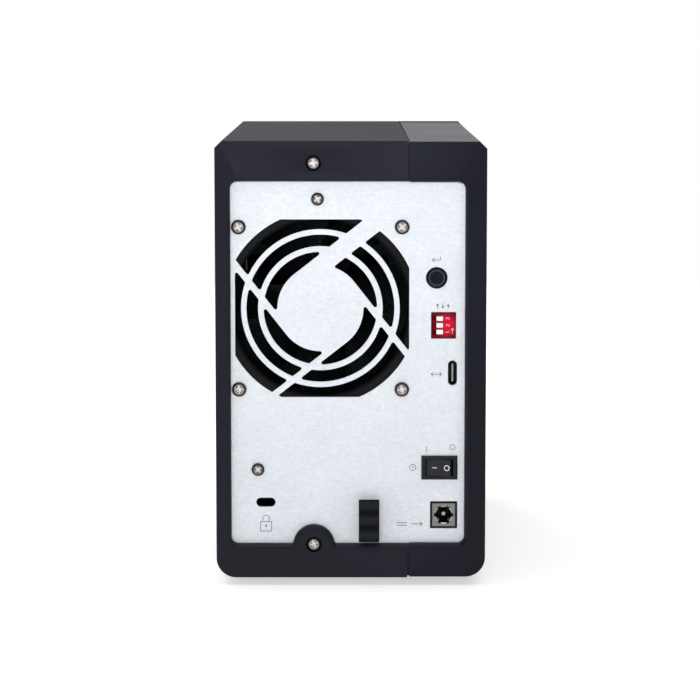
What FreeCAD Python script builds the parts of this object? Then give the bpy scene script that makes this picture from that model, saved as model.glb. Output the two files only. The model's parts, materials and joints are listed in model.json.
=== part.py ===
"""Two-bay desktop drive enclosure: a plastic casing in two covers around a sheet-metal cage.

Millimetres. +Z is up, the front faces -Y and the connector panel faces +Y. The origin is
the middle of the footprint, on the surface that the rubber feet stand on.
"""
import FreeCAD, Part
import math
import os
import re

import Sketcher

doc = FreeCAD.newDocument("DriveEnclosure")

# --------------------------------------------------------------------- driving sizes
SIZES = {
    # casing: two covers, outer surfaces
    "half_width": 51.0,
    "casing_top": 168.5,
    "foot_height": 2.8,
    "front_face": -109.5,
    "frame_back": -104.0,
    "rim_face": 105.5,
    "panel_face": 102.0,
    "wall_thick": 2.2,
    "corner_low": 7.5,
    "corner_bevel": 2.7,
    "rim_round": 0.5,
    "seam_x": -21.8,
    "seam_width": 0.8,
    "seam_depth": 0.7,
    "cover_step": 0.3,
    # feet, in a rectangle under the casing
    "foot_radius": 6.0,
    "foot_inset": 0.6,
    "foot_round": 0.5,
    "foot_x": 37.0,
    "foot_front": -90.0,
    "foot_back": 82.0,
    # front frame: bay opening, status strip, its lights and their board
    "front_round": 2.4,
    "bay_corner": 1.2,
    "strip_left": -47.6,
    "strip_right": -23.4,
    "strip_low": 88.0,
    "strip_high": 144.0,
    "strip_depth": 0.5,
    "strip_corner": 3.0,
    "light_x": -35.4,
    "light_low": 96.0,
    "light_pitch": 10.0,
    "pipe_radius": 1.5,
    "pipe_length": 4.4,
    "lamp_width": 1.0,
    "lamp_height": 1.6,
    "lamp_depth": 0.9,
    "status_gap": 0.6,
    "ribbon_x": -44.0,
    "ribbon_thick": 0.4,
    "ribbon_low": 100.0,
    "ribbon_high": 110.0,
    "ribbon_end": 22.0,
    "header_depth": 6.0,
    # window in the rear rim, its bevel and the screw lug at its lower edge
    "window_left": -43.0,
    "window_right": 45.3,
    "window_low": 15.6,
    "window_high": 153.2,
    "window_corner": 2.7,
    "window_round": 2.0,
    "window_step": 0.25,
    "lug_x": 14.0,
    "lug_z": 15.5,
    "lug_radius": 7.9,
    "lug_drop": 0.5,
    "lug_blend": 1.0,
    "casing_screw_z": 160.1,
    "casing_screw_sink": 2.95,
    "sink_depth": 2.0,
    # rear panel, 1 mm galvanised steel
    "sheet_thick": 1.0,
    "panel_left": -47.8,
    "panel_right": 48.2,
    "panel_low": 6.0,
    "panel_high": 165.3,
    "panel_corner": 6.0,
    "flange_depth": 10.0,
    "cut_behind": 3.0,
    "cut_beyond": 2.0,
    "fit_gap": 0.1,
    "cutout_corner": 0.4,
    # fan and its grille
    "fan_x": 11.46,
    "fan_z": 105.3,
    "fan_size": 70.0,
    "fan_depth": 25.0,
    "fan_pitch": 61.5,
    "fan_bore": 33.4,
    "fan_flange": 4.0,
    "fan_tube": 34.8,
    "fan_hub": 14.5,
    "fan_tip": 32.6,
    "fan_corner": 4.0,
    "fan_mouth_bevel": 1.0,
    "strut_length": 36.0,
    "strut_width": 2.6,
    "strut_depth": 3.0,
    "stator_start": 83.0,
    "stator_depth": 8.0,
    "stator_radius": 9.5,
    "bearing_radius": 4.0,
    "bearing_length": 16.4,
    "cup_start": 80.4,
    "cup_depth": 18.8,
    "cup_wall": 1.2,
    "cup_round": 0.9,
    "blade_middle": 90.0,
    "blade_depth": 17.0,
    "shaft_radius": 1.5,
    "shaft_clearance": 0.05,
    "grille_hub": 16.24,
    "slot_one_outer": 21.4,
    "slot_two_inner": 23.5,
    "slot_two_outer": 27.9,
    "slot_three_inner": 29.9,
    "grille_reach": 36.8,
    "spoke_wide": 6.9,
    "spoke_thin": 2.32,
    "spoke_length": 60.0,
    "slot_corner": 0.7,
    "slot_tip": 0.35,
    "grille_left": -33.5,
    "grille_right": 32.2,
    "grille_low": -33.75,
    "grille_high": 33.6,
    # screws
    "head_radius": 2.75,
    "head_height": 1.7,
    "shank_radius": 1.4,
    "recess_half": 0.42,
    "fan_screw_length": 8.0,
    "short_screw_length": 5.0,
    "nut_radius": 3.0,
    "nut_thick": 2.0,
    "hole_clearance": 0.05,
    "upper_screw_x": 12.5,
    "upper_screw_z": 146.55,
    "lower_screw_x": 35.2,
    "lower_screw_z": 43.9,
    # set button and push switch
    "button_x": -32.35,
    "button_z": 116.85,
    "button_hole": 4.12,
    "button_radius": 4.0,
    "button_face": 102.6,
    "button_start": 93.0,
    "button_stem": 2.4,
    "button_collar": 4.9,
    "collar_start": 98.6,
    "collar_end": 99.8,
    "switch_start": 84.0,
    "switch_end": 91.5,
    "switch_reach": -28.0,
    "switch_half": 5.0,
    "plunger_radius": 1.5,
    "plunger_start": 87.5,
    # mode switch block and sliders
    "mode_left": -39.55,
    "mode_right": -30.45,
    "mode_low": 93.98,
    "mode_high": 103.72,
    "mode_face": 101.6,
    "mode_rear": 92.0,
    "mode_gap": 0.4,
    "slider_pitch": 2.54,
    "slider_left": -34.75,
    "slider_right": -32.35,
    "slider_half": 0.8,
    "slider_back": 98.5,
    "slider_face": 102.1,
    "slider_step": 101.0,
    "slider_travel": 1.5,
    # data port
    "port_x": -38.42,
    "port_z": 80.8,
    "port_width": 3.15,
    "port_height": 9.2,
    "port_shell": 0.3,
    "port_corner": 1.7,
    "port_back": 92.5,
    "port_floor": 93.2,
    "port_face": 101.7,
    "tongue_half": 0.3,
    "tongue_reach": 3.35,
    "tongue_face": 101.0,
    # power rocker
    "rocker_x": -33.6,
    "rocker_z": 44.65,
    "bezel_width": 13.7,
    "bezel_height": 9.1,
    "bezel_proud": 1.3,
    "rocker_opening": 10.5,
    "rocker_tall": 6.6,
    "rocker_radius": 5.1,
    "rocker_pivot": 101.2,
    "rocker_tilt": 9.0,
    "rocker_half": 6.0,
    "rocker_back": 86.0,
    "rocker_floor": 92.0,
    "rocker_body_tall": 7.6,
    "rocker_bevel": 0.5,
    "trunnion_radius": 0.9,
    "trunnion_half": 3.65,
    "paddle_gap": 0.15,
    # power jack
    "jack_x": -35.3,
    "jack_z": 26.4,
    "jack_width": 10.2,
    "jack_height": 10.3,
    "jack_frame": 0.8,
    "jack_back": 88.0,
    "jack_floor": 91.0,
    "jack_plate": 0.5,
    "jack_bevel": 0.3,
    "notch_half": 0.7,
    "notch_reach": 3.7,
    "leaf_half": 0.6,
    "leaf_thick": 0.24,
    "leaf_length": 6.5,
    "jack_face": 101.5,
    "jack_bore": 3.1,
    "jack_pin": 1.0,
    "jack_tip": 99.3,
    # security slot
    "lock_x": 32.25,
    "lock_z": 31.25,
    "lock_width": 7.3,
    "lock_height": 3.5,
    "lock_corner": 1.74,
    # cable hook
    "hook_left": -10.78,
    "hook_right": -3.03,
    "hook_low": 17.1,
    "hook_foot": 2.8,
    "hook_out": 109.5,
    "hook_top": 33.2,
    "hook_thick": 2.3,
    "hook_web": 1.4,
    "hook_bevel": 0.6,
    "peg_radius": 1.2,
    # drive bays and trays
    "bay_middle": 13.7,
    "bay_pitch": 33.5,
    "bay_low": 16.6,
    "bay_high": 154.4,
    "bay_centre": 85.5,
    "tray_gap": 0.4,
    "bezel_face": -109.2,
    "bezel_back": -98.5,
    "tray_rear": 52.0,
    "drive_rear": 49.6,
    "tray_half": 56.0,
    "rib_height": 7.2,
    "rib_half": 2.0,
    "guide_base": 1.8,
    "guide_reach": 9.4,
    "ridge_inner": 2.35,
    "ridge_outer": 4.6,
    "tray_wall_outer": 14.5,
    "tray_wall_inner": 12.7,
    "rail_thick": 2.6,
    "rail_reach": 10.0,
    "bezel_corner": 1.0,
    "bezel_bevel": 0.6,
    "recess_low": 31.0,
    "recess_gap": 0.4,
    "recess_corner": 0.8,
    "hollow_half": 12.0,
    "hollow_depth": 3.2,
    "hollow_low": 36.0,
    "hollow_high": 138.0,
    "drive_half": 51.0,
    "drive_hole_x": 6.25,
    "drive_hole_radius": 1.7,
    "pad_front": -92.0,
    "pad_back": 44.0,
    "pad_reach": 9.0,
    "cage_front": -95.5,
    "cage_rear": 56.0,
    "cage_low": 19.0,
    "cage_high": 152.0,
    "cage_wing_low": 9.0,
    "tab_half": 4.0,
    "vent_half_length": 30.0,
    "vent_half_height": 5.0,
    "vent_round": 4.5,
    # lever and lock on each tray
    "lever_half": 10.0,
    "lever_low": 42.0,
    "lever_axis_z": 145.0,
    "lever_axis_y": -106.5,
    "lever_round": 2.5,
    "lever_tip_round": 1.2,
    "dish_half": 7.6,
    "dish_margin": 8.0,
    "dish_level": 0.4,
    "dish_corner": 2.0,
    "pin_half": 12.6,
    "pin_hole_half": 13.0,
    "pin_radius": 1.2,
    "barrel_radius": 3.2,
    "barrel_z": 23.5,
    "cam_half": 1.6,
    "cam_reach": 4.6,
    "key_half": 0.4,
    "key_reach": 2.0,
    "key_depth": 4.8,
    # boards
    "board_face": -40.6,
    "board_thick": 1.6,
    "board_front": 15.0,
    "board_back": 99.0,
    "board_low": 16.0,
    "board_high": 152.0,
    "bracket_face": -45.8,
    "stud_radius": 2.6,
    "back_left": -36.0,
    "back_right": 46.6,
    "back_low": 21.5,
    "back_high": 149.5,
    "chip_start": 30.0,
    "chip_low": 70.0,
    "chip_size": 14.0,
    "chip_thick": 1.2,
    "sink_margin": 3.0,
    "sink_floor": 1.8,
    "sink_height": 7.8,
    "fin_thick": 1.2,
    "fin_pitch": 3.0,
    "can_radius": 3.1,
    "can_height": 7.0,
    "coil_side": 8.0,
    "coil_height": 4.0,
}

sheet = doc.addObject("Spreadsheet::Sheet", "Sizes")
for row, (alias, value) in enumerate(SIZES.items(), start=1):
    sheet.set(f"A{row}", alias)
    sheet.set(f"B{row}", str(value))
    sheet.setAlias(f"B{row}", alias)
doc.recompute()

X_AXIS = (1, 0, 0)
Y_AXIS = (0, 1, 0)
Z_AXIS = (0, 0, 1)
SMALL = 1e-3
NEAR = 0.5
BEYOND = "200"
parts = {}


# --------------------------------------------------------------------- building blocks
def bound(text):
    """Expression text in which every size name points at the sheet."""
    return re.sub(r"[a-z]+(_[a-z]+)+", r"Sizes.\g<0>", str(text))


def move(item, at):
    """Bind an object's place to three size expressions."""
    for axis, text in zip("xyz", at):
        item.setExpression(f"Placement.Base.{axis}", bound(text))
    return item


def box(name, low, high):
    """Box between two corners, each given as three size expressions."""
    item = doc.addObject("Part::Box", name)
    for side, start, end in zip(("Length", "Width", "Height"), low, high):
        item.setExpression(side, bound(f"({end}) - ({start})"))
    return move(item, low)


def cylinder(name, start, direction, radius, length):
    """Cylinder from a start point along a direction."""
    item = doc.addObject("Part::Cylinder", name)
    turn = FreeCAD.Rotation(FreeCAD.Vector(*Z_AXIS), FreeCAD.Vector(*direction))
    item.Placement.Rotation = turn
    item.setExpression("Radius", bound(radius))
    item.setExpression("Height", bound(length))
    return move(item, start)


def fuse(name, *pieces):
    """Union of several objects."""
    item = doc.addObject("Part::MultiFuse", name)
    item.Shapes = list(pieces)
    item.Refine = True
    return item


def cut(name, base, *tools):
    """Base object with every tool taken away."""
    item = doc.addObject("Part::Cut", name)
    item.Base = base
    item.Tool = tools[0] if len(tools) == 1 else fuse(name + "_tools", *tools)
    item.Refine = True
    return item


def common(name, first, second):
    """What two objects share."""
    item = doc.addObject("Part::Common", name)
    item.Base = first
    item.Tool = second
    return item


def along(axis):
    """Test for straight edges that run along one axis."""
    def test(edge):
        if not isinstance(edge.Curve, Part.Line):
            return False
        direction = edge.tangentAt(edge.FirstParameter)
        return abs(abs(direction.dot(FreeCAD.Vector(*axis))) - 1) < SMALL
    return test


def dress(kind, name, base, size, test):
    """Fillet or chamfer of one size on the base's edges that pass a test."""
    doc.recompute()
    item = doc.addObject(kind, name)
    item.Base = base
    length = SIZES.get(size, size)
    found = [n for n, edge in enumerate(base.Shape.Edges, start=1) if test(edge)]
    item.Edges = [(n, length, length) for n in found]
    return item


def rounded(name, base, size, test):
    """Rounded edges."""
    return dress("Part::Fillet", name, base, size, test)


def bevelled(name, base, size, test):
    """Bevelled edges."""
    return dress("Part::Chamfer", name, base, size, test)


def rounded_box(name, low, high, radius, axis=Y_AXIS):
    """Box whose four edges along one axis are rounded."""
    return rounded(name, box(name + "_block", low, high), radius, along(axis))


def outline(name, role, points, middle=0.0):
    """PartDesign body with a closed outline sketched on one of its origin planes."""
    body = doc.addObject("PartDesign::Body", name + "_body")
    plane = next(f for f in body.Origin.OriginFeatures if f.Role == role)
    sketch = body.newObject("Sketcher::SketchObject", name + "_outline")
    sketch.AttachmentSupport = [(plane, "")]
    sketch.MapMode = "FlatFace"
    count = len(points)
    turns = [2 * math.pi * n / count for n in range(count)]
    loop = [FreeCAD.Vector(middle + math.cos(turn), math.sin(turn)) for turn in turns]
    for n in range(count):
        sketch.addGeometry(Part.LineSegment(loop[n], loop[(n + 1) % count]))
    for n in range(count):
        sketch.addConstraint(Sketcher.Constraint("Coincident", n, 2, (n + 1) % count, 1))
    for n, point in enumerate(points):
        for kind, text in zip(("DistanceX", "DistanceY"), point):
            row = sketch.addConstraint(Sketcher.Constraint(kind, -1, 1, n, 1, 1.0 + n))
            sketch.setExpression(f"Constraints[{row}]", bound(text))
    return body, sketch


def pad(name, role, start, length, points):
    """Outline on an origin plane, padded along that plane's axis."""
    body, sketch = outline(name, role, points)
    sketch.setExpression("AttachmentOffset.Base.z", bound(start))
    feature = body.newObject("PartDesign::Pad", name + "_pad")
    feature.Profile = sketch
    feature.setExpression("Length", bound(length))
    return body


def spun(name, points):
    """Outline in the XY plane turned about the Y axis."""
    body, sketch = outline(name, "XY_Plane", points, middle=2.0)
    feature = body.newObject("PartDesign::Revolution", name + "_turn")
    feature.Profile = sketch
    feature.ReferenceAxis = (sketch, ["V_Axis"])
    feature.Angle = 360
    return body


def group(name, *pieces):
    """Separate solids kept in one sub-part."""
    item = doc.addObject("Part::Compound", name)
    item.Links = list(pieces)
    return item


def copies(name, master, places, turns=None):
    """Group of linked copies of one piece, at several places."""
    links = []
    for number, at in enumerate(places):
        link = doc.addObject("App::Link", f"{name}_{number + 1}")
        link.LinkedObject = master
        link.LinkTransform = True
        if turns:
            link.Placement.Rotation = turns[number]
        links.append(move(link, at))
    return group(name + "_group", *links)


def part(label, item):
    """Name a finished sub-part: its label is also its file name."""
    item.Label = label
    parts[label] = item
    return item


def screw(name, head, length):
    """Pan-head cross-recess screw along -Y, its bearing face at Y = 0."""
    profile = [("0", f"-({length})"), ("shank_radius", f"-({length})"), ("shank_radius", "0"),
               (head, "0"), (head, "head_height * 0.45"), (f"({head}) * 0.72", "head_height * 0.9"),
               (f"({head}) * 0.35", "head_height"), ("0", "head_height")]
    blank = spun(name, profile)
    arm = f"({head}) * 0.62"
    recess_floor = "head_height * 0.3"
    across = box(name + "_across", (f"-({arm})", recess_floor, "-recess_half"),
                 (arm, "head_height + 1", "recess_half"))
    upright = box(name + "_upright", ("-recess_half", recess_floor, f"-({arm})"),
                  ("recess_half", "head_height + 1", arm))
    return cut(name + "_driven", blank, across, upright)


def turned(*angles):
    """One rotation about Y for each angle."""
    return [FreeCAD.Rotation(FreeCAD.Vector(*Y_AXIS), angle) for angle in angles]


# --------------------------------------------------------------------- casing
def casing_block(name, inset, front, rear, step="0"):
    """Casing envelope, set in from its outer surface: lower edges rounded, upper ones bevelled."""
    block = box(name + "_block",
                (f"-half_width + {inset}", front, f"foot_height + {inset} + {step}"),
                (f"half_width - {inset}", rear, f"casing_top - {inset} - {step}"))
    depth = SIZES.get(inset, 0)
    doc.recompute()
    middle = block.Shape.BoundBox.Center.z
    edge_along_y = along(Y_AXIS)
    low = rounded(name + "_low", block, SIZES["corner_low"] - depth,
                  lambda e: edge_along_y(e) and e.CenterOfMass.z < middle)
    return bevelled(name, low, SIZES["corner_bevel"] - depth * (2 - math.sqrt(2)),
                    lambda e: edge_along_y(e) and e.CenterOfMass.z > middle
                    and abs(abs(e.CenterOfMass.x) - (SIZES["half_width"] - depth)) < SMALL)


def casing_shell(name, step, window_step):
    """Open-fronted shell with a rear rim around its window."""
    block = casing_block(name + "_outer", "0", "frame_back", "rim_face", step)
    outer = rounded(name + "_outer_soft", block, "rim_round",
                    lambda e: e.BoundBox.YMin > SIZES["rim_face"] - SMALL)
    inner = casing_block(name + "_inner", "wall_thick", "frame_back - 1", "panel_face", step)
    window = rounded_box(name + "_window",
                         ("window_left", "panel_face - 1", f"window_low + {window_step}"),
                         ("window_right", "rim_face + 1", f"window_high - {window_step}"),
                         "window_corner")
    return cut(name + "_shell", outer, inner, window)


def window_edges(edge):
    """Edges in the rear plane that surround the window or the lug."""
    centre = edge.CenterOfMass
    bounds = edge.BoundBox
    in_plane = abs(bounds.YMin - SIZES["rim_face"]) < SMALL and bounds.YLength < SMALL
    across = SIZES["window_left"] - NEAR < centre.x < SIZES["window_right"] + NEAR
    upward = SIZES["window_low"] - NEAR < centre.z < SIZES["window_high"] + NEAR
    on_seam = bounds.XLength < SMALL and abs(centre.x - SIZES["seam_x"]) < SIZES["seam_width"]
    return in_plane and across and upward and not on_seam


def lug_corners(edge):
    """The two inner corners where the screw lug rises from the window's lower edge."""
    centre = edge.CenterOfMass
    beside = abs(abs(centre.x - SIZES["lug_x"]) - SIZES["lug_radius"]) < NEAR
    return along(Y_AXIS)(edge) and beside and abs(centre.z - SIZES["window_low"]) < SMALL


def casing_screw_holes(name):
    """Counterbored holes for the two casing screws."""
    tools = []
    for level in ("casing_screw_z", "lug_z"):
        tools.append(cylinder(f"{name}_{level}_hole", ("lug_x", "panel_face - 1", level),
                              Y_AXIS, SCREW_HOLE, "rim_face - panel_face + 2"))
        tools.append(cylinder(f"{name}_{level}_sink", ("lug_x", "rim_face - sink_depth", level),
                              Y_AXIS, "casing_screw_sink", "sink_depth + 1"))
    return tools


def foot_recesses(name):
    """Shallow round recesses that the feet are glued into."""
    return [cylinder(f"{name}_{number}", (x, y, "foot_height - 1"), Z_AXIS,
                     "foot_radius + fit_gap", "foot_inset + 1")
            for number, (x, y) in enumerate(FOOT_PLACES)]


SCREW_HOLE = "shank_radius + hole_clearance"
FOOT_PLACES = [(x, y) for y in ("foot_front", "foot_back") for x in ("-foot_x", "foot_x")]
SEAM_EDGE = "seam_x - seam_width / 2"

large_half = box("large_half", (SEAM_EDGE, f"-{BEYOND}", f"-{BEYOND}"), (BEYOND, BEYOND, BEYOND))
small_half = box("small_half", (f"-{BEYOND}", f"-{BEYOND}", f"-{BEYOND}"),
                 (SEAM_EDGE, BEYOND, BEYOND))

large_shell = casing_shell("large", "0", "0")
large_side = common("large_side", large_shell, large_half)
lug_disc = cylinder("lug_disc", ("lug_x", "panel_face", "lug_z - lug_drop"), Y_AXIS, "lug_radius",
                    "rim_face - panel_face")
large_lugged = fuse("large_lugged", large_side, lug_disc)
large_blended = rounded("large_blended", large_lugged, "lug_blend", lug_corners)
large_soft = rounded("large_soft", large_blended, "window_round", window_edges)
seam_strip = box("seam_strip", (f"{SEAM_EDGE} - 1", f"-{BEYOND}", f"-{BEYOND}"),
                 ("seam_x + seam_width / 2", BEYOND, BEYOND))
seam_core = box("seam_core", (f"-{BEYOND}", f"-{BEYOND}", "foot_height + seam_depth"),
                ("0", "rim_face - seam_depth", "casing_top - seam_depth"))
seam_groove = cut("seam_groove", seam_strip, seam_core)
part("large_cover", cut("large_cover", large_soft, seam_groove,
                        *casing_screw_holes("cover"), *foot_recesses("large_recess")))

small_shell = casing_shell("small", "cover_step", "window_step")
small_side = common("small_side", small_shell, small_half)
small_soft = rounded("small_soft", small_side, "window_round", window_edges)
part("small_cover", cut("small_cover", small_soft, *foot_recesses("small_recess")))

foot_disc = cylinder("foot_disc", ("0", "0", "0"), Z_AXIS, "foot_radius", "foot_height + foot_inset")
foot = rounded("foot_shape", foot_disc, "foot_round",
               lambda e: e.CenterOfMass.z < SMALL and e.Closed)
part("rubber_feet", copies("feet", foot, [(x, y, "0") for x, y in FOOT_PLACES]))

# front frame around the tray opening, with the holes of the status lights
LIGHTS = [("light_x", f"light_low + {n} * light_pitch") for n in range(5)]
frame_block = casing_block("frame_block", "0", "front_face", "frame_back")
frame_round = rounded("frame_round", frame_block, "front_round",
                      lambda e: abs(e.BoundBox.YMax - SIZES["front_face"]) < SMALL)
bay_opening = rounded_box("bay_opening",
                          ("bay_middle - bay_pitch", "front_face - 1", "bay_low"),
                          ("bay_middle + bay_pitch", "frame_back + 1", "bay_high"), "bay_corner")
light_holes = [cylinder(f"light_hole_{n}", (x, "front_face - 1", z), Y_AXIS,
                        "pipe_radius + hole_clearance", "frame_back - front_face + 2")
               for n, (x, z) in enumerate(LIGHTS)]
strip_recess = rounded_box("strip_recess", ("strip_left", "front_face - 1", "strip_low"),
                           ("strip_right", "front_face + strip_depth", "strip_high"), "strip_corner")
part("front_frame", cut("front_frame", frame_round, bay_opening, strip_recess, *light_holes))

pipe = cylinder("pipe_rod", ("0", "0", "0"), Y_AXIS, "pipe_radius", "pipe_length")
part("light_pipes", copies("pipes", pipe, [(x, "front_face + strip_depth", z) for x, z in LIGHTS]))
STATUS_FACE = "frame_back + status_gap"
lamp = box("lamp_chip", ("-lamp_width / 2", "0", "-lamp_height / 2"),
           ("lamp_width / 2", "lamp_depth", "lamp_height / 2"))
part("status_lights", copies("lamps", lamp, [(x, f"{STATUS_FACE} - lamp_depth", z) for x, z in LIGHTS]))
part("status_board", box("status_board", ("strip_left + 1.6", STATUS_FACE, "strip_low"),
                         ("strip_right - 0.6", f"{STATUS_FACE} + board_thick", "strip_high - 2")))
part("status_ribbon", box("status_ribbon",
                          ("ribbon_x - ribbon_thick / 2", f"{STATUS_FACE} + board_thick", "ribbon_low"),
                          ("ribbon_x + ribbon_thick / 2", "ribbon_end", "ribbon_high")))
part("ribbon_header", box("ribbon_header",
                          ("ribbon_x + ribbon_thick / 2", "ribbon_end - header_depth", "ribbon_low - 1"),
                          ("board_face - board_thick", "ribbon_end", "ribbon_high + 1")))


# --------------------------------------------------------------------- rear panel
CUT_START = "panel_face - cut_behind"
CUT_END = "panel_face + cut_beyond"
CUT_LENGTH = "cut_behind + cut_beyond"


def panel_hole(name, x, z, radius):
    """Round hole through the panel."""
    return cylinder(name, (x, CUT_START, z), Y_AXIS, radius, CUT_LENGTH)


def panel_slot(name, x, z, width, height, corner="cutout_corner"):
    """Rounded rectangular hole through the panel."""
    return rounded_box(name, (f"{x} - ({width}) / 2", CUT_START, f"{z} - ({height}) / 2"),
                       (f"{x} + ({width}) / 2", CUT_END, f"{z} + ({height}) / 2"), corner)


def ring(name, inner, outer):
    """Ring through the panel around the fan's axis."""
    return cut(name, panel_hole(name + "_outer", "fan_x", "fan_z", outer),
               panel_hole(name + "_inner", "fan_x", "fan_z", inner))


def spoke(name, angle, width):
    """Bar of the grille that leaves the hub along its tangent."""
    bar = doc.addObject("Part::Box", name)
    bar.setExpression("Length", bound("spoke_length"))
    bar.setExpression("Width", bound(CUT_LENGTH))
    bar.setExpression("Height", bound(width))
    turn = math.radians(angle)
    bar.Placement.Rotation = FreeCAD.Rotation(FreeCAD.Vector(*Y_AXIS), angle)
    return move(bar, (f"fan_x - grille_hub * {math.sin(turn)}", CUT_START,
                      f"fan_z - grille_hub * {math.cos(turn)}"))


def fan_distance(edge):
    """Distance of an edge's middle from the fan's axis."""
    centre = edge.CenterOfMass
    return math.hypot(centre.x - SIZES["fan_x"], centre.z - SIZES["fan_z"])


slot_rings = [ring("slot_one", "grille_hub", "slot_one_outer"),
              ring("slot_two", "slot_two_inner", "slot_two_outer")]
slot_square = box("slot_square", ("fan_x + grille_left", CUT_START, "fan_z + grille_low"),
                  ("fan_x + grille_right", CUT_END, "fan_z + grille_high"))
slot_rings.append(common("slot_three_clipped",
                         ring("slot_three", "slot_three_inner", "grille_reach"), slot_square))
# the bars leave the hub at four directions a quarter turn apart, the first of them wide
SPOKE_ANGLES = [218, 308, 38, 128]
spokes = [spoke(f"spoke_{angle}", angle, "spoke_thin" if number else "spoke_wide")
          for number, angle in enumerate(SPOKE_ANGLES)]
slots_sharp = cut("slots_sharp", fuse("slot_rings", *slot_rings), *spokes)
slots_inner = rounded("slots_inner", slots_sharp, "slot_corner",
                      lambda e: along(Y_AXIS)(e) and fan_distance(e) < SIZES["grille_reach"] - 0.1)
slots = rounded("slots", slots_inner, "slot_tip",
                lambda e: along(Y_AXIS)(e) and abs(fan_distance(e) - SIZES["grille_reach"]) < 0.1)

panel_sheet = rounded_box("panel_sheet", ("panel_left", "panel_face - sheet_thick", "panel_low"),
                          ("panel_right", "panel_face", "panel_high"), "panel_corner")
panel_flange = box("panel_flange",
                   ("panel_left", "panel_face - flange_depth", "panel_low + panel_corner + 1"),
                   ("panel_left + sheet_thick", "panel_face - sheet_thick",
                    "panel_high - panel_corner - 1"))
panel_lip = box("panel_lip", ("panel_left + panel_corner + 1", "panel_face - flange_depth",
                              "panel_high - sheet_thick"),
                ("panel_right - panel_corner - 1", "panel_face - sheet_thick", "panel_high"))
panel_blank = fuse("panel_blank", panel_sheet, panel_flange, panel_lip)

FAN_CORNERS = [(f"fan_x + {a} * fan_pitch / 2", f"fan_z + {b} * fan_pitch / 2")
               for a in (-1, 1) for b in (-1, 1)]
PANEL_SCREWS = [("upper_screw_x", "upper_screw_z"), ("lower_screw_x", "lower_screw_z")]
CASING_SCREWS = [("lug_x", "casing_screw_z"), ("lug_x", "lug_z")]
HOOK_PEG = ("(hook_left + hook_right) / 2", "hook_low + hook_foot / 2")
panel_holes = [panel_hole(f"screw_hole_{n}", x, z, SCREW_HOLE)
               for n, (x, z) in enumerate(FAN_CORNERS + PANEL_SCREWS + CASING_SCREWS)]
panel_holes += [
    slots,
    panel_hole("button_opening", "button_x", "button_z", "button_hole"),
    panel_slot("mode_opening", "(mode_left + mode_right) / 2", "(mode_low + mode_high) / 2",
               "mode_right - mode_left + mode_gap", "mode_high - mode_low + mode_gap"),
    panel_slot("port_opening", "port_x", "port_z", "port_width + 3 * fit_gap",
               "port_height + 3 * fit_gap", "port_corner"),
    panel_slot("rocker_cutout", "rocker_x", "rocker_z", "2 * rocker_half + fit_gap",
               "rocker_body_tall + fit_gap"),
    panel_slot("jack_opening", "jack_x", "jack_z", "jack_width + 2 * fit_gap",
               "jack_height + 2 * fit_gap"),
    panel_slot("lock_opening", "lock_x", "lock_z", "lock_width", "lock_height", "lock_corner"),
    panel_hole("hook_hole", *HOOK_PEG, "peg_radius + hole_clearance"),
]
part("rear_panel", cut("rear_panel", panel_blank, *panel_holes))

# each screw is turned to its own angle, as a hand-driven screw ends up
fan_screw = screw("fan_screw", "head_radius", "fan_screw_length")
panel_screw = screw("panel_screw", "head_radius * 0.88", "short_screw_length")
casing_screw = screw("casing_screw", "head_radius", "short_screw_length")
part("fan_screws", copies("fan_screw", fan_screw,
                          [(x, "panel_face", z) for x, z in FAN_CORNERS], turned(12, 38, 3, 27)))
part("panel_screws", copies("panel_screw", panel_screw,
                            [(x, "panel_face", z) for x, z in PANEL_SCREWS], turned(32, 40)))
part("casing_screws", copies("casing_screw", casing_screw,
                             [(x, "rim_face - sink_depth", z) for x, z in CASING_SCREWS],
                             turned(8, 20)))
# pressed nuts behind the panel take the screws that hold no other part
nut = cut("nut_ring", cylinder("nut_disc", ("0", "-nut_thick", "0"), Y_AXIS, "nut_radius", "nut_thick"),
          cylinder("nut_bore", ("0", "-nut_thick - 1", "0"), Y_AXIS, SCREW_HOLE, "nut_thick + 2"))
part("pressed_nuts", copies("nut", nut, [(x, "panel_face - sheet_thick", z)
                                         for x, z in PANEL_SCREWS + CASING_SCREWS]))

# cable hook: a foot, an upright arm with softened outer edges and a peg through the panel
HOOK_OUTLINE = [("panel_face", "hook_low"), ("hook_out - 0.9", "hook_low"),
                ("hook_out", "hook_low + 1.1"), ("hook_out", "hook_top - 2.9"),
                ("hook_out - 0.4", "hook_top - 1.4"), ("hook_out - 1.5", "hook_top"),
                ("hook_out - hook_thick", "hook_top"),
                ("hook_out - hook_thick", "hook_low + hook_foot + hook_web"),
                ("hook_out - hook_thick - hook_web", "hook_low + hook_foot"),
                ("panel_face", "hook_low + hook_foot")]
hook_body = pad("hook", "YZ_Plane", "hook_left", "hook_right - hook_left", HOOK_OUTLINE)
hook_soft = bevelled("hook_soft", hook_body, "hook_bevel",
                     lambda e: e.BoundBox.XLength < SMALL and e.CenterOfMass.y > SIZES["hook_out"] - 1)
hook_peg = cylinder("hook_peg", (HOOK_PEG[0], CUT_START, HOOK_PEG[1]), Y_AXIS, "peg_radius",
                    "cut_behind + hook_bevel")
part("cable_hook", fuse("cable_hook", hook_soft, hook_peg))

# --------------------------------------------------------------------- connectors
# push switch on the board, its plunger and the set button's cap
switch_box = box("switch_box", ("board_face", "switch_start", "button_z - switch_half"),
                 ("switch_reach", "switch_end", "button_z + switch_half"))
plunger_bore = cylinder("plunger_bore", ("button_x", "plunger_start - 1.5", "button_z"), Y_AXIS,
                        "plunger_radius + fit_gap", "switch_end - plunger_start + 3")
part("push_switch", cut("push_switch", switch_box, plunger_bore))
part("switch_plunger", cylinder("switch_plunger", ("button_x", "plunger_start", "button_z"), Y_AXIS,
                                "plunger_radius", "button_start - plunger_start"))
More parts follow.
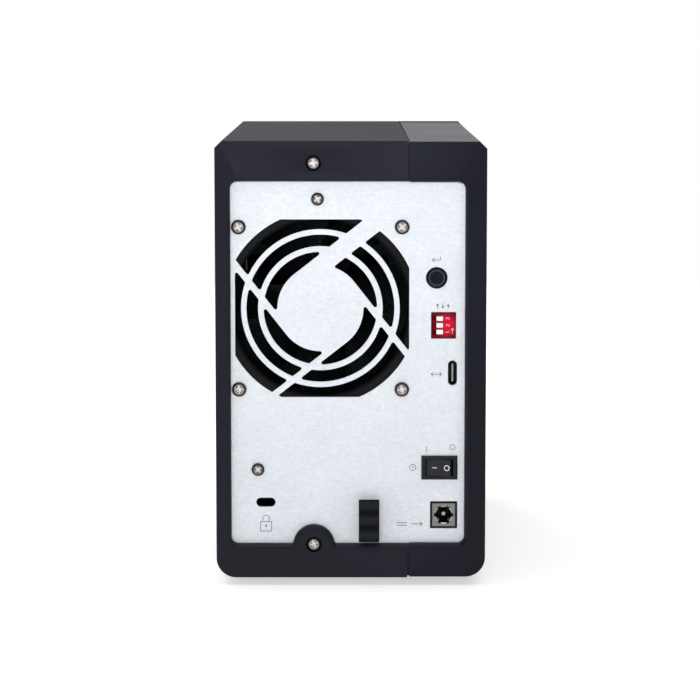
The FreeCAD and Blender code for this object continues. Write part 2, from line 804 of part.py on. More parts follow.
# the cap's face is dished inside a raised ring
CAP_OUTLINE = [("0", "button_start"), ("button_stem", "button_start"), ("button_stem", "collar_start"),
               ("button_collar", "collar_start"), ("button_collar", "collar_end"),
               ("button_radius", "collar_end"), ("button_radius", "button_face - 0.7"),
               ("button_radius - 0.35", "button_face - 0.3"), ("button_radius - 0.75", "button_face"),
               ("button_radius - 1.05", "button_face"), ("button_radius - 1.35", "button_face - 0.4"),
               ("0", "button_face - 0.4")]
cap = spun("cap", CAP_OUTLINE)
part("set_button", move(cap, ("button_x", "0", "button_z")))

# mode switch: a block with three slots and a slider in each
SLIDER_LEVELS = [f"(mode_low + mode_high) / 2 + {n} * slider_pitch" for n in (1, 0, -1)]
mode_base = box("mode_base", ("board_face", "mode_rear", "mode_low"),
                ("mode_right", "panel_face - sheet_thick", "mode_high"))
mode_front = box("mode_front", ("mode_left", "panel_face - sheet_thick", "mode_low"),
                 ("mode_right", "mode_face", "mode_high"))
mode_block = fuse("mode_block", mode_base, mode_front)
mode_slots = [box(f"mode_slot_{n}",
                  ("slider_left - mode_gap", "slider_back - fit_gap", f"{z} - slider_half - 0.28"),
                  ("slider_right + slider_travel + fit_gap", "mode_face + 1",
                   f"{z} + slider_half + 0.28"))
              for n, z in enumerate(SLIDER_LEVELS)]
part("mode_switch", cut("mode_switch", mode_block, *mode_slots))
for number, level in enumerate(SLIDER_LEVELS, start=1):
    slider_foot = box(f"slider_foot_{number}",
                      ("slider_left - fit_gap", "slider_back", f"{level} - slider_half - 0.05"),
                      ("slider_right", "slider_step", f"{level} + slider_half + 0.05"))
    slider_grip = box(f"slider_grip_{number}", ("slider_left", "slider_step", f"{level} - slider_half"),
                      ("slider_right", "slider_face", f"{level} + slider_half"))
    part(f"mode_slider_{number}", fuse(f"mode_slider_{number}", slider_foot, slider_grip))


# data port: a steel shell around a thin tongue
def port_block(name, inset, back, face):
    """Obround block on the data port's axis."""
    half = SIZES["port_width"] / 2 - inset
    return rounded_box(name,
                       (f"port_x - port_width / 2 + {inset}", back,
                        f"port_z - port_height / 2 + {inset}"),
                       (f"port_x + port_width / 2 - {inset}", face,
                        f"port_z + port_height / 2 - {inset}"), half - 0.02)


port_outer = port_block("port_outer", 0, "port_back", "port_face")
port_mouth = port_block("port_mouth", SIZES["port_shell"], "port_floor", "port_face + 1")
port_tabs = box("port_tabs", ("board_face", "port_floor + 0.8", "port_z - port_height / 3"),
                ("port_x - port_width / 2 + port_shell / 2", "port_floor + 4.8",
                 "port_z + port_height / 3"))
port_rear = port_block("port_rear", SIZES["port_shell"] / 2, "port_back", "port_floor")
port_solid = fuse("port_solid", port_outer, port_tabs, port_rear)
part("data_port_shell", cut("data_port_shell", port_solid, port_mouth))
part("data_port_tongue", rounded_box("data_port_tongue",
                                     ("port_x - tongue_half", "port_floor", "port_z - tongue_reach"),
                                     ("port_x + tongue_half", "tongue_face", "port_z + tongue_reach"),
                                     0.2))

# power rocker: snap-in housing, paddle on two trunnions
rocker_bezel = box("rocker_bezel",
                   ("rocker_x - bezel_width / 2", "panel_face", "rocker_z - bezel_height / 2"),
                   ("rocker_x + bezel_width / 2", "panel_face + bezel_proud",
                    "rocker_z + bezel_height / 2"))
rocker_rim = bevelled("rocker_rim", rocker_bezel, "rocker_bevel",
                      lambda e: e.BoundBox.YMin > SIZES["panel_face"] + SIZES["bezel_proud"] - SMALL)
rocker_body = box("rocker_body",
                  ("rocker_x - rocker_half", "rocker_back", "rocker_z - rocker_body_tall / 2"),
                  ("rocker_x + rocker_half", "panel_face", "rocker_z + rocker_body_tall / 2"))
rocker_well = box("rocker_well",
                  ("rocker_x - rocker_opening / 2", "rocker_floor", "rocker_z - rocker_tall / 2"),
                  ("rocker_x + rocker_opening / 2", "rim_face", "rocker_z + rocker_tall / 2"))
pivot_hole = cylinder("pivot_hole",
                      ("rocker_x", "rocker_pivot", "rocker_z - trunnion_half - fit_gap"), Z_AXIS,
                      "trunnion_radius + shaft_clearance", "2 * (trunnion_half + fit_gap)")
part("rocker_housing", cut("rocker_housing", fuse("rocker_solid", rocker_rim, rocker_body),
                           rocker_well, pivot_hole))
PADDLE_OUTLINE = [("-rocker_half", "-3.4"), ("rocker_half", "-3.4"), ("rocker_half", "2.65"),
                  ("0", "1.7"), ("-rocker_half", "2.65")]
paddle_wedge = pad("paddle", "XY_Plane", "paddle_gap - rocker_tall / 2",
                   "rocker_tall - 2 * paddle_gap", PADDLE_OUTLINE)
paddle_round = cylinder("paddle_round", ("0", "0", "-rocker_tall"), Z_AXIS, "rocker_radius",
                        "2 * rocker_tall")
trunnion = cylinder("trunnion", ("0", "0", "-trunnion_half"), Z_AXIS, "trunnion_radius",
                    "2 * trunnion_half")
paddle = fuse("paddle_whole", common("paddle_trimmed", paddle_wedge, paddle_round), trunnion)
paddle.Placement.Rotation = FreeCAD.Rotation(FreeCAD.Vector(*Z_AXIS), -SIZES["rocker_tilt"])
part("power_rocker", move(paddle, ("rocker_x", "rocker_pivot", "rocker_z")))

# power jack: moulded body, steel face plate, four contact springs and the centre pin
jack_block = box("jack_block", ("jack_x - jack_width / 2", "jack_back", "jack_z - jack_height / 2"),
                 ("jack_x + jack_width / 2", "jack_face", "jack_z + jack_height / 2"))
jack_hole = cylinder("jack_hole", ("jack_x", "jack_floor", "jack_z"), Y_AXIS, "jack_bore",
                     "jack_face - jack_floor + 1")
part("power_jack_body", cut("power_jack_body", jack_block, jack_hole))
JACK_HALF = ("(jack_width / 2 - jack_frame)", "(jack_height / 2 - jack_frame)")
jack_plate = box("jack_plate",
                 (f"jack_x - {JACK_HALF[0]}", "jack_face", f"jack_z - {JACK_HALF[1]}"),
                 (f"jack_x + {JACK_HALF[0]}", "jack_face + jack_plate", f"jack_z + {JACK_HALF[1]}"))
plate_open = cut("plate_open", jack_plate,
                 cylinder("plate_hole", ("jack_x", "jack_face - 1", "jack_z"), Y_AXIS,
                          "jack_bore", "jack_plate + 2"))
plate_ring = bevelled("plate_ring", plate_open, "jack_bevel",
                      lambda e: e.Closed and e.BoundBox.YMin > SIZES["jack_face"] + SMALL)
notch = box("plate_notch", ("-notch_reach", "-1", "-notch_half"), ("notch_reach", "1", "notch_half"))
notches = copies("plate_notches", notch, [("jack_x", "jack_face", "jack_z")] * 3,
                 turned(0, 60, 120))
part("power_jack_face", cut("power_jack_face", plate_ring, notches))
pin_rod = cylinder("pin_rod", ("jack_x", "jack_floor", "jack_z"), Y_AXIS, "jack_pin",
                   "jack_tip - jack_floor")
pin_tip = bevelled("pin_tip", pin_rod, "jack_bevel",
                   lambda e: e.Closed and e.CenterOfMass.y > SIZES["jack_tip"] - SMALL)
LEAF_OUT = "jack_bore - fit_gap"
leaf = box("leaf", ("-leaf_half", "0", f"{LEAF_OUT} - leaf_thick"),
           ("leaf_half", "leaf_length", LEAF_OUT))
leaves = copies("leaves", leaf, [("jack_x", "jack_floor + 1.5", "jack_z")] * 4,
                turned(45, 135, 225, 315))
part("power_jack_contacts", group("power_jack_contacts", pin_tip, leaves))

# --------------------------------------------------------------------- fan
FAN_FRONT = "panel_face - sheet_thick - fan_depth"
FAN_REAR = "panel_face - sheet_thick"


def fan_plate(name, start, end):
    """Square flange of the fan frame."""
    return rounded_box(name, ("fan_x - fan_size / 2", start, "fan_z - fan_size / 2"),
                       ("fan_x + fan_size / 2", end, "fan_z + fan_size / 2"), "fan_corner")


def fan_rod(name, start, radius, length):
    """Cylinder on the fan's axis."""
    return cylinder(name, ("fan_x", start, "fan_z"), Y_AXIS, radius, length)


fan_solid = fuse("fan_solid", fan_plate("fan_front_plate", FAN_FRONT, f"{FAN_FRONT} + fan_flange"),
                 fan_plate("fan_rear_plate", f"{FAN_REAR} - fan_flange", FAN_REAR),
                 fan_rod("fan_barrel", FAN_FRONT, "fan_tube", "fan_depth"))
fan_shell = cut("fan_shell", fan_solid, fan_rod("fan_duct", f"{FAN_FRONT} - 1", "fan_bore",
                                                "fan_depth + 2"))
PANEL_BACK = SIZES["panel_face"] - SIZES["sheet_thick"]
fan_mouth = bevelled("fan_mouth", fan_shell, "fan_mouth_bevel",
                     lambda e: e.Closed and abs(e.BoundBox.YMax - PANEL_BACK) < SMALL)
struts = []
for angle in (20, 110, 200, 290):
    strut = doc.addObject("Part::Box", f"strut_{angle}")
    for side, size in (("Length", "strut_length"), ("Width", "strut_width"), ("Height", "strut_depth")):
        strut.setExpression(side, bound(size))
    strut.Placement.Rotation = FreeCAD.Rotation(FreeCAD.Vector(*Y_AXIS), angle)
    struts.append(move(strut, ("fan_x", FAN_FRONT, "fan_z")))
strut_star = common("strut_star", fuse("strut_bars", *struts),
                    fan_rod("strut_limit", FAN_FRONT, "fan_bore + 0.5", "strut_depth"))
motor_plate = fan_rod("motor_plate", FAN_FRONT, "fan_hub - 0.5", "strut_width")
fan_corner_holes = [cylinder(f"fan_corner_{n}", (x, f"{FAN_REAR} - 10", z), Y_AXIS, SCREW_HOLE, "11")
                    for n, (x, z) in enumerate(FAN_CORNERS)]
part("fan_frame", cut("fan_frame", fuse("fan_casting", fan_mouth, strut_star, motor_plate),
                      *fan_corner_holes))
stator_core = fuse("stator_core",
                   fan_rod("stator_coils", "stator_start", "stator_radius", "stator_depth"),
                   fan_rod("bearing_tube", f"{FAN_FRONT} + strut_width", "bearing_radius",
                           "bearing_length"))
part("fan_stator", cut("fan_stator", stator_core,
                       fan_rod("bearing_bore", f"{FAN_FRONT} + strut_width",
                               "shaft_radius + shaft_clearance", "bearing_length + 1")))


def blade(angle):
    """One twisted fan blade, lofted through three sections from hub to tip."""
    sections = []
    for radius, sweep, half_chord, pitch in BLADE_SECTIONS:
        turn = math.radians(angle + sweep)
        outward = FreeCAD.Vector(math.cos(turn), 0, math.sin(turn))
        around = FreeCAD.Vector(-math.sin(turn), 0, math.cos(turn))
        lean = math.radians(pitch)
        chord = around * math.sin(lean) + FreeCAD.Vector(*Y_AXIS) * math.cos(lean)
        normal = chord.cross(outward)
        corners = [outward * radius + chord * (a * half_chord) + normal * (b * BLADE_HALF_THICK)
                   for a, b in ((-1, -1), (1, -1), (1, 1), (-1, 1))]
        sections.append(Part.makePolygon(corners + corners[:1]))
    return Part.makeLoft(sections, True, True)


BLADES = 7
BLADE_HALF_THICK = 0.55
# radius, sweep in degrees, half the chord and pitch in degrees
BLADE_SECTIONS = [(13.6, 0, 7.6, 38), (23, 5, 8.8, 50), (34, 14, 9.6, 58)]
blade_set = doc.addObject("Part::Feature", "blade_set")
blade_set.Shape = Part.makeCompound([blade(360 * n / BLADES) for n in range(BLADES)])
move(blade_set, ("fan_x", "blade_middle", "fan_z"))
BLADE_FRONT = "blade_middle - blade_depth / 2 + 0.5"
blade_band = cut("blade_band", fan_rod("blade_limit", BLADE_FRONT, "fan_tip", "blade_depth"),
                 fan_rod("blade_clear", f"{BLADE_FRONT} - 1", "fan_hub - cup_wall / 2",
                         "blade_depth + 2"))
blades = common("blades", blade_set, blade_band)
rotor_cup = cut("rotor_cup", fan_rod("cup_outer", "cup_start", "fan_hub", "cup_depth"),
                fan_rod("cup_inner", "cup_start - 1", "fan_hub - cup_wall", "cup_depth - cup_wall + 1"))
CUP_FACE = SIZES["cup_start"] + SIZES["cup_depth"]
rotor_dome = rounded("rotor_dome", rotor_cup, "cup_round",
                     lambda e: e.Closed and abs(e.BoundBox.YMax - CUP_FACE) < SMALL)
rotor_shaft = fan_rod("rotor_shaft", "cup_start + fit_gap", "shaft_radius", "cup_depth - cup_wall / 2")
part("fan_rotor", fuse("fan_rotor", rotor_dome, blades, rotor_shaft))

# fan lead: from the frame's corner down to a plug on the main board
LEAD_RADIUS = 1.1
LEAD_BEND = 4.0
LEAD_Y = 79
LEAD_HIGH = 80
LEAD_LOW = 62
LEAD_DROP_X = -30.5
PLUG_X = -36.0
lead_corner = SIZES["fan_x"] - SIZES["fan_size"] / 2
lead_points = [FreeCAD.Vector(lead_corner, LEAD_Y, LEAD_HIGH),
               FreeCAD.Vector(LEAD_DROP_X, LEAD_Y, LEAD_HIGH),
               FreeCAD.Vector(LEAD_DROP_X, LEAD_Y, LEAD_LOW), FreeCAD.Vector(PLUG_X, LEAD_Y, LEAD_LOW)]


def rounded_route(points, bend):
    """Wire of straight runs joined by tangent arcs."""
    edges = []
    start = points[0]
    for before, corner, after in zip(points, points[1:], points[2:]):
        back = (before - corner).normalize()
        ahead = (after - corner).normalize()
        enter = corner + back * bend
        leave = corner + ahead * bend
        centre = enter + ahead * bend
        middle = centre + (corner - centre).normalize() * bend
        edges.append(Part.LineSegment(start, enter).toShape())
        edges.append(Part.Arc(enter, middle, leave).toShape())
        start = leave
    edges.append(Part.LineSegment(start, points[-1]).toShape())
    return Part.Wire(edges)


route = rounded_route(lead_points, LEAD_BEND)
lead_section = Part.Wire(Part.makeCircle(LEAD_RADIUS, lead_points[0], FreeCAD.Vector(*X_AXIS)))
fan_lead = doc.addObject("Part::Feature", "fan_lead_tube")
fan_lead.Shape = route.makePipeShell([lead_section], True, True)
part("fan_lead", fan_lead)
PLUG_HALF = (3.8, 4.0)
part("fan_plug", box("fan_plug",
                     ("board_face", str(LEAD_Y - PLUG_HALF[0]), str(LEAD_LOW - PLUG_HALF[1])),
                     (str(PLUG_X), str(LEAD_Y + PLUG_HALF[0]), str(LEAD_LOW + PLUG_HALF[1]))))

# --------------------------------------------------------------------- drive cage
CAGE_LEFT = "bay_middle - bay_pitch - sheet_thick"
CAGE_RIGHT = "bay_middle + bay_pitch + sheet_thick"
cage_walls = [
    box("cage_left", (CAGE_LEFT, "cage_front", "foot_height + wall_thick"),
        ("bay_middle - bay_pitch", "cage_rear", "cage_high")),
    box("cage_right", ("bay_middle + bay_pitch", "cage_front", "cage_wing_low"),
        (CAGE_RIGHT, "panel_face - sheet_thick", "cage_high")),
    box("cage_floor", (CAGE_LEFT, "cage_front", "cage_low"),
        (CAGE_RIGHT, "cage_rear", "cage_low + sheet_thick")),
    box("cage_roof", (CAGE_LEFT, "cage_front", "cage_high - sheet_thick"),
        (CAGE_RIGHT, "cage_rear", "cage_high")),
]
TAB_PLACES = [(x, z) for x in (-15, 42) for z in (25, 146)]
cage_tabs = []
for x, z in TAB_PLACES:
    lower = z < SIZES["bay_centre"]
    low, high = ("cage_low", f"{z} + tab_half") if lower else (f"{z} - tab_half", "cage_high")
    cage_tabs.append(box(f"tab_{len(cage_tabs)}", (f"{x} - tab_half", "cage_rear - sheet_thick", low),
                         (f"{x} + tab_half", "cage_rear", high)))


def sheet_holes(name, places):
    """Screw holes through the cage's tabs and the board behind them."""
    return [cylinder(f"{name}_{n}", (str(x), "cage_rear - 2", str(z)), Y_AXIS, SCREW_HOLE, "5")
            for n, (x, z) in enumerate(places)]


tab_holes = sheet_holes("tab_hole", TAB_PLACES)
vent = rounded_box("vent_cut", (CAGE_LEFT + " - 1", "-vent_half_length", "-vent_half_height"),
                   (CAGE_RIGHT + " + 1", "vent_half_length", "vent_half_height"), "vent_round", X_AXIS)
cage_vents = copies("cage_vent", vent, [("0", y, z) for y in ("-56", "16")
                                        for z in ("42", "64", "86", "108", "130")])
part("drive_cage", cut("drive_cage", fuse("cage_sheet", *cage_walls, *cage_tabs), cage_vents,
                       *tab_holes))

BAYS = [f"(bay_middle + {side} * bay_pitch / 2)" for side in (-1, 1)]


def guide(label, side):
    """Moulded guide with two ridges on each side of a tray's rib; side is -1 below, 1 above."""
    base = f"bay_centre + {side} * (bay_centre - cage_low - 1)"
    inner = f"{base} - {side} * guide_base"
    ridge_end = f"{base} - {side} * guide_reach"

    def slab(name, x_low, x_high, z_one, z_two):
        low, high = (z_one, z_two) if side < 0 else (z_two, z_one)
        return box(name, (x_low, "cage_front", low), (x_high, "tray_rear", high))

    pieces = [slab(label + "_base", "bay_middle - bay_pitch", "bay_middle + bay_pitch", base, inner)]
    for number, bay in enumerate(BAYS):
        pieces.append(slab(f"{label}_left_{number}", f"{bay} - ridge_outer", f"{bay} - ridge_inner",
                           inner, ridge_end))
        pieces.append(slab(f"{label}_right_{number}", f"{bay} + ridge_inner", f"{bay} + ridge_outer",
                           inner, ridge_end))
    return part(label, fuse(label, *pieces))


guide("lower_guide", -1)
guide("upper_guide", 1)

# --------------------------------------------------------------------- boards
back_sheet = box("back_sheet", ("back_left", "cage_rear", "back_low"),
                 ("back_right", "cage_rear + board_thick", "back_high"))
back_vent = rounded_box("back_vent", ("-12", "-5", "-6"), ("12", "5", "6"), 3.0)
back_vents = copies("back_vent", back_vent,
                    [(x, "cage_rear", z) for x in (f"{BAYS[0]}", f"{BAYS[1]}")
                     for z in ("36", "52", "116", "132")])
part("backplane_board", cut("backplane_board", back_sheet, back_vents,
                            *sheet_holes("back_hole", TAB_PLACES)))
for number, bay in enumerate(BAYS, start=1):
    socket_body = box(f"socket_body_{number}", (f"{bay} - 11.5", "drive_rear + 0.3", "62"),
                      (f"{bay} - 5.5", "cage_rear", "103"))
    socket_slot = box(f"socket_slot_{number}", (f"{bay} - 9.9", "drive_rear", "64.5"),
                      (f"{bay} - 7.1", "cage_rear - 1.5", "100.5"))
    part(f"drive_socket_{number}", cut(f"drive_socket_{number}", socket_body, socket_slot))
part("link_connector", box("link_connector", ("board_face", "cage_rear + board_thick", "58"),
                           ("-30", "66", "112")))

STUDS = [(y, z) for y in (26, 80) for z in (23, 144)]
bracket_sheet = box("bracket_sheet", ("bracket_face - sheet_thick", "board_front - 4", "12"),
                    ("bracket_face", "panel_face - sheet_thick", "156"))
studs = [cylinder(f"stud_{y}_{z}", ("bracket_face", str(y), str(z)), X_AXIS, "stud_radius",
                  "board_face - board_thick - bracket_face") for y, z in STUDS]


def stud_holes(name):
    """Screw holes along the studs' axes, through the bracket and the board."""
    return [cylinder(f"{name}_{y}_{z}", ("bracket_face - 2", str(y), str(z)), X_AXIS, SCREW_HOLE,
                     "board_face - bracket_face + 4") for y, z in STUDS]


part("board_bracket", cut("board_bracket", fuse("bracket_solid", bracket_sheet, *studs),
                          *stud_holes("stud_hole")))
main_sheet = box("main_sheet", ("board_face - board_thick", "board_front", "board_low"),
                 ("board_face", "board_back", "board_high"))
part("main_board", cut("main_board", main_sheet, *stud_holes("main_hole")))
board_screw = screw("board_screw", "head_radius * 0.85", "4.5")
quarter = FreeCAD.Rotation(FreeCAD.Vector(*Z_AXIS), -90)
main_screws = copies("main_screw", board_screw,
                     [("board_face", str(y), str(z)) for y, z in STUDS], [quarter] * len(STUDS))
back_screws = copies("back_screw", board_screw,
                     [(str(x), "cage_rear + board_thick", str(z)) for x, z in TAB_PLACES],
                     turned(10, 50, 25, 70))
part("board_screws", group("board_screws", main_screws, back_screws))
CHIP_FACE = "board_face + chip_thick"
part("bridge_chip", box("bridge_chip", ("board_face", "chip_start", "chip_low"),
                        (CHIP_FACE, "chip_start + chip_size", "chip_low + chip_size")))
SINK_START = "chip_start - sink_margin"
SINK_LOW = "chip_low - sink_margin"
SINK_HIGH = "chip_low + chip_size + sink_margin"
sink_base = box("sink_base", (CHIP_FACE, SINK_START, SINK_LOW),
                (f"{CHIP_FACE} + sink_floor", "chip_start + chip_size + sink_margin", SINK_HIGH))
sink_fins = []
for n in range(7):
    fin_start = f"{SINK_START} + {n} * fin_pitch"
    sink_fins.append(box(f"sink_fin_{n}", (f"{CHIP_FACE} + sink_floor", fin_start, SINK_LOW),
                         (f"{CHIP_FACE} + sink_height", f"{fin_start} + fin_thick", SINK_HIGH)))
part("heat_sink", fuse("heat_sink", sink_base, *sink_fins))
capacitor = cylinder("capacitor_can", ("0", "0", "0"), X_AXIS, "can_radius", "can_height")
part("capacitors", copies("capacitor", capacitor,
                          [("board_face", y, z) for y, z in (("72", "28"), ("64", "28"), ("72", "38"),
                                                            ("34", "128"), ("42", "128"))]))
coil = rounded_box("coil_block", ("0", "0", "0"), ("coil_height", "coil_side", "coil_side"), 1.0,
                   X_AXIS)
part("power_coils", copies("coil", coil, [("board_face", "48", "24"), ("board_face", "48", "36"),
                                          ("board_face", "58", "120")]))


# --------------------------------------------------------------------- trays
TRAY_SLOT = (("-5", "-26", "-4.5"), ("5", "26", "4.5"))
TRAY_SLOT_LEVELS = ("53", "70", "87", "117", "128.5")
# standard screw places of 2.5-inch and 3.5-inch drives, from the drive's connector end
SMALL_DRIVE_HOLES = [(y, f"70 + {z}") for y in (14.0, 90.6) for z in (-30.86, 30.86)]
LARGE_DRIVE_HOLES = (28.5, 130.1)


def tray(number, bay):
    """Everything that slides out of one bay."""
    name = f"tray_{number}"
    half = "(bay_pitch / 2 - tray_gap)"
    block = rounded_box(name + "_block", (f"{bay} - {half}", "bezel_face", "bay_low + tray_gap"),
                        (f"{bay} + {half}", "bezel_back", "bay_high - tray_gap"), "bezel_corner")
    front = bevelled(name + "_front", block, "bezel_bevel",
                     lambda e: abs(e.BoundBox.YMax - SIZES["bezel_face"]) < SMALL)
    recess = rounded_box(name + "_recess",
                         (f"{bay} - lever_half - recess_gap", "bezel_face - 1", "recess_low"),
                         (f"{bay} + lever_half + recess_gap", "lever_axis_y + lever_round + recess_gap",
                          "lever_axis_z + lever_round + recess_gap"), "recess_corner")
    hollow = box(name + "_hollow", (f"{bay} - hollow_half", "bezel_back - hollow_depth", "hollow_low"),
                 (f"{bay} + hollow_half", "bezel_back + 1", "hollow_high"))
    pin_hole = cylinder(name + "_pin_hole", (f"{bay} - pin_hole_half", "lever_axis_y", "lever_axis_z"),
                        X_AXIS, "pin_radius", "2 * pin_hole_half")
    barrel_hole = cylinder(name + "_barrel_hole", (bay, "bezel_face - 1", "barrel_z"), Y_AXIS,
                           "barrel_radius + shaft_clearance", "bezel_back - bezel_face + 2")
    part(name + "_bezel", cut(name + "_bezel", front, recess, hollow, pin_hole, barrel_hole))

    wall = box(name + "_wall", (f"{bay} - tray_wall_outer", "bezel_back", "bay_centre - tray_half"),
               (f"{bay} - tray_wall_inner", "tray_rear", "bay_centre + tray_half"))
    pieces = [wall]
    for side in (-1, 1):
        outer = f"bay_centre + {side} * tray_half"
        inner = f"bay_centre + {side} * (tray_half - rail_thick)"
        tip = f"bay_centre + {side} * (tray_half + rib_height)"
        rail = (outer, inner) if side < 0 else (inner, outer)
        rib = (tip, outer) if side < 0 else (outer, tip)
        pieces.append(box(f"{name}_rail_{side + 1}",
                          (f"{bay} - tray_wall_outer", "bezel_back", rail[0]),
                          (f"{bay} + rail_reach", "tray_rear", rail[1])))
        pieces.append(box(f"{name}_rib_{side + 1}", (f"{bay} - rib_half", "cage_front + 1", rib[0]),
                          (f"{bay} + rib_half", "tray_rear", rib[1])))
    slot_block = rounded_box(name + "_slot", *TRAY_SLOT, 3.5, X_AXIS)
    slot_set = copies(name + "_slot", slot_block,
                      [(f"{bay} - tray_wall_outer", "-3", z) for z in TRAY_SLOT_LEVELS])
    small_holes = [cylinder(f"{name}_small_{n}", (f"{bay} - tray_wall_outer - 1", f"drive_rear - {y}", z),
                            X_AXIS, "drive_hole_radius", "tray_wall_outer - tray_wall_inner + 2")
                   for n, (y, z) in enumerate(SMALL_DRIVE_HOLES)]
    side_holes = [cylinder(f"{name}_side_{n}",
                           (f"{bay} - drive_hole_x", f"drive_rear - {y}",
                            "bay_centre - tray_half - rib_height"),
                           Z_AXIS, "drive_hole_radius", "2 * (tray_half + rib_height)")
                  for n, y in enumerate(LARGE_DRIVE_HOLES)]
    part(name + "_frame", cut(name + "_frame", fuse(name + "_body", *pieces), slot_set,
                              *small_holes, *side_holes))
    strips = []
    for side in (-1, 1):
        near = f"bay_centre + {side} * drive_half"
        far = f"bay_centre + {side} * (tray_half - rail_thick)"
        low, high = (far, near) if side < 0 else (near, far)
        strip = box(f"{name}_strip_{side + 1}", (f"{bay} - tray_wall_inner", "pad_front", low),
                    (f"{bay} + pad_reach", "pad_back", high))
        holes = [cylinder(f"{name}_strip_hole_{side + 1}_{n}",
                          (f"{bay} - drive_hole_x", f"drive_rear - {y}", f"({low}) - 1"), Z_AXIS,
                          "drive_hole_radius", "tray_half - rail_thick - drive_half + 2")
                 for n, y in enumerate(LARGE_DRIVE_HOLES)]
        strips.append(cut(f"{name}_strip_cut_{side + 1}", strip, *holes))
    part(name + "_drive_strips", group(name + "_drive_strips", *strips))

    lever_bar = box(name + "_lever_bar",
                    (f"{bay} - lever_half", "lever_axis_y - lever_round", "lever_low"),
                    (f"{bay} + lever_half", "lever_axis_y + lever_round", "lever_axis_z"))
    lever_end = cylinder(name + "_lever_end", (f"{bay} - lever_half", "lever_axis_y", "lever_axis_z"),
                         X_AXIS, "lever_round", "2 * lever_half")
    lever_soft = rounded(name + "_lever_soft", lever_bar, "lever_tip_round",
                         lambda e: e.BoundBox.ZMax < SIZES["lever_low"] + SMALL)
    lever_bore = cylinder(name + "_lever_bore", (f"{bay} - lever_half - 1", "lever_axis_y",
                                                 "lever_axis_z"), X_AXIS,
                          "pin_radius + shaft_clearance", "2 * lever_half + 2")
    lever_dish = rounded_box(name + "_lever_dish",
                             (f"{bay} - dish_half", "lever_axis_y - dish_level",
                              "lever_low + dish_margin"),
                             (f"{bay} + dish_half", "lever_axis_y + lever_round + 1",
                              "lever_axis_z - dish_margin"), "dish_corner")
    part(name + "_lever", cut(name + "_lever", fuse(name + "_lever_whole", lever_soft, lever_end),
                              lever_bore, lever_dish))
    part(name + "_lever_pin", cylinder(name + "_lever_pin",
                                       (f"{bay} - pin_half", "lever_axis_y", "lever_axis_z"), X_AXIS,
                                       "pin_radius", "2 * pin_half"))

    barrel = cylinder(name + "_barrel", (bay, "bezel_face + 0.2", "barrel_z"), Y_AXIS,
                      "barrel_radius", "bezel_back - bezel_face + 0.3")
    cam = box(name + "_cam", (f"{bay} - cam_half", "bezel_back + 0.4", "barrel_z - cam_half"),
              (f"{bay} + cam_half", "bezel_back + 1.8", "barrel_z + cam_reach"))
    key_slot = box(name + "_key_slot", (f"{bay} - key_half", "bezel_face", "barrel_z - key_reach"),
                   (f"{bay} + key_half", "bezel_face + 0.2 + key_depth", "barrel_z + key_reach"))
    part(name + "_lock", cut(name + "_lock", fuse(name + "_lock_solid", barrel, cam), key_slot))


for bay_number, bay_place in enumerate(BAYS, start=1):
    tray(bay_number, bay_place)

# --------------------------------------------------------------------- check and write
doc.recompute()
faults = [f"{item.Name}: {item.State}" for item in doc.Objects
          if "Invalid" in item.State or "Error" in item.State]
faults += [f"{label}: bad shape" for label, item in parts.items()
           if item.Shape.isNull() or not item.Shape.isValid() or item.Shape.Volume < SMALL]
if faults:
    raise SystemExit("\n".join(faults))
os.makedirs("parts", exist_ok=True)
for label, item in parts.items():
    item.Shape.exportStep(f"parts/{label}.step")
    solids = len(item.Shape.Solids)
    print(f"{label}: {solids} solid(s), {item.Shape.Volume:.1f} mm3")
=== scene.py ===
"""Looks of the two-bay drive enclosure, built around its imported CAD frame.

Metres throughout; the marks' strokes are given in millimetres and scaled by MM.
"""

import json
import math

import bmesh
import bpy
from mathutils import Euler, Matrix, Vector


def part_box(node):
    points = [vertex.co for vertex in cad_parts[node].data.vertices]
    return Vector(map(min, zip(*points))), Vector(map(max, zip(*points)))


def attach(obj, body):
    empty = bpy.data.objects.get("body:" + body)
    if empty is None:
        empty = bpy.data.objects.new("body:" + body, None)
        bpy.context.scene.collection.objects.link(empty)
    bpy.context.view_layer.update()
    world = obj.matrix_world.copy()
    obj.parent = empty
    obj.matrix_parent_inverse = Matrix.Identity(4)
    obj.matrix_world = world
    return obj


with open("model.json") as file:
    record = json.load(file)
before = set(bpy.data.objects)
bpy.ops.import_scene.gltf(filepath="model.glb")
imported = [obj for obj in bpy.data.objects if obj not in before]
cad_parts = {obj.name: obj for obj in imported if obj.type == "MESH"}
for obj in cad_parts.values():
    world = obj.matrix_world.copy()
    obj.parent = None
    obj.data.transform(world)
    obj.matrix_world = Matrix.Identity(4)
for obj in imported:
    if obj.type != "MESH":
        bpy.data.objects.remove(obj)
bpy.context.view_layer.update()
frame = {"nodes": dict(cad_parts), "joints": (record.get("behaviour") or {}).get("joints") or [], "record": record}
nodes = frame["nodes"]
MM = 0.001


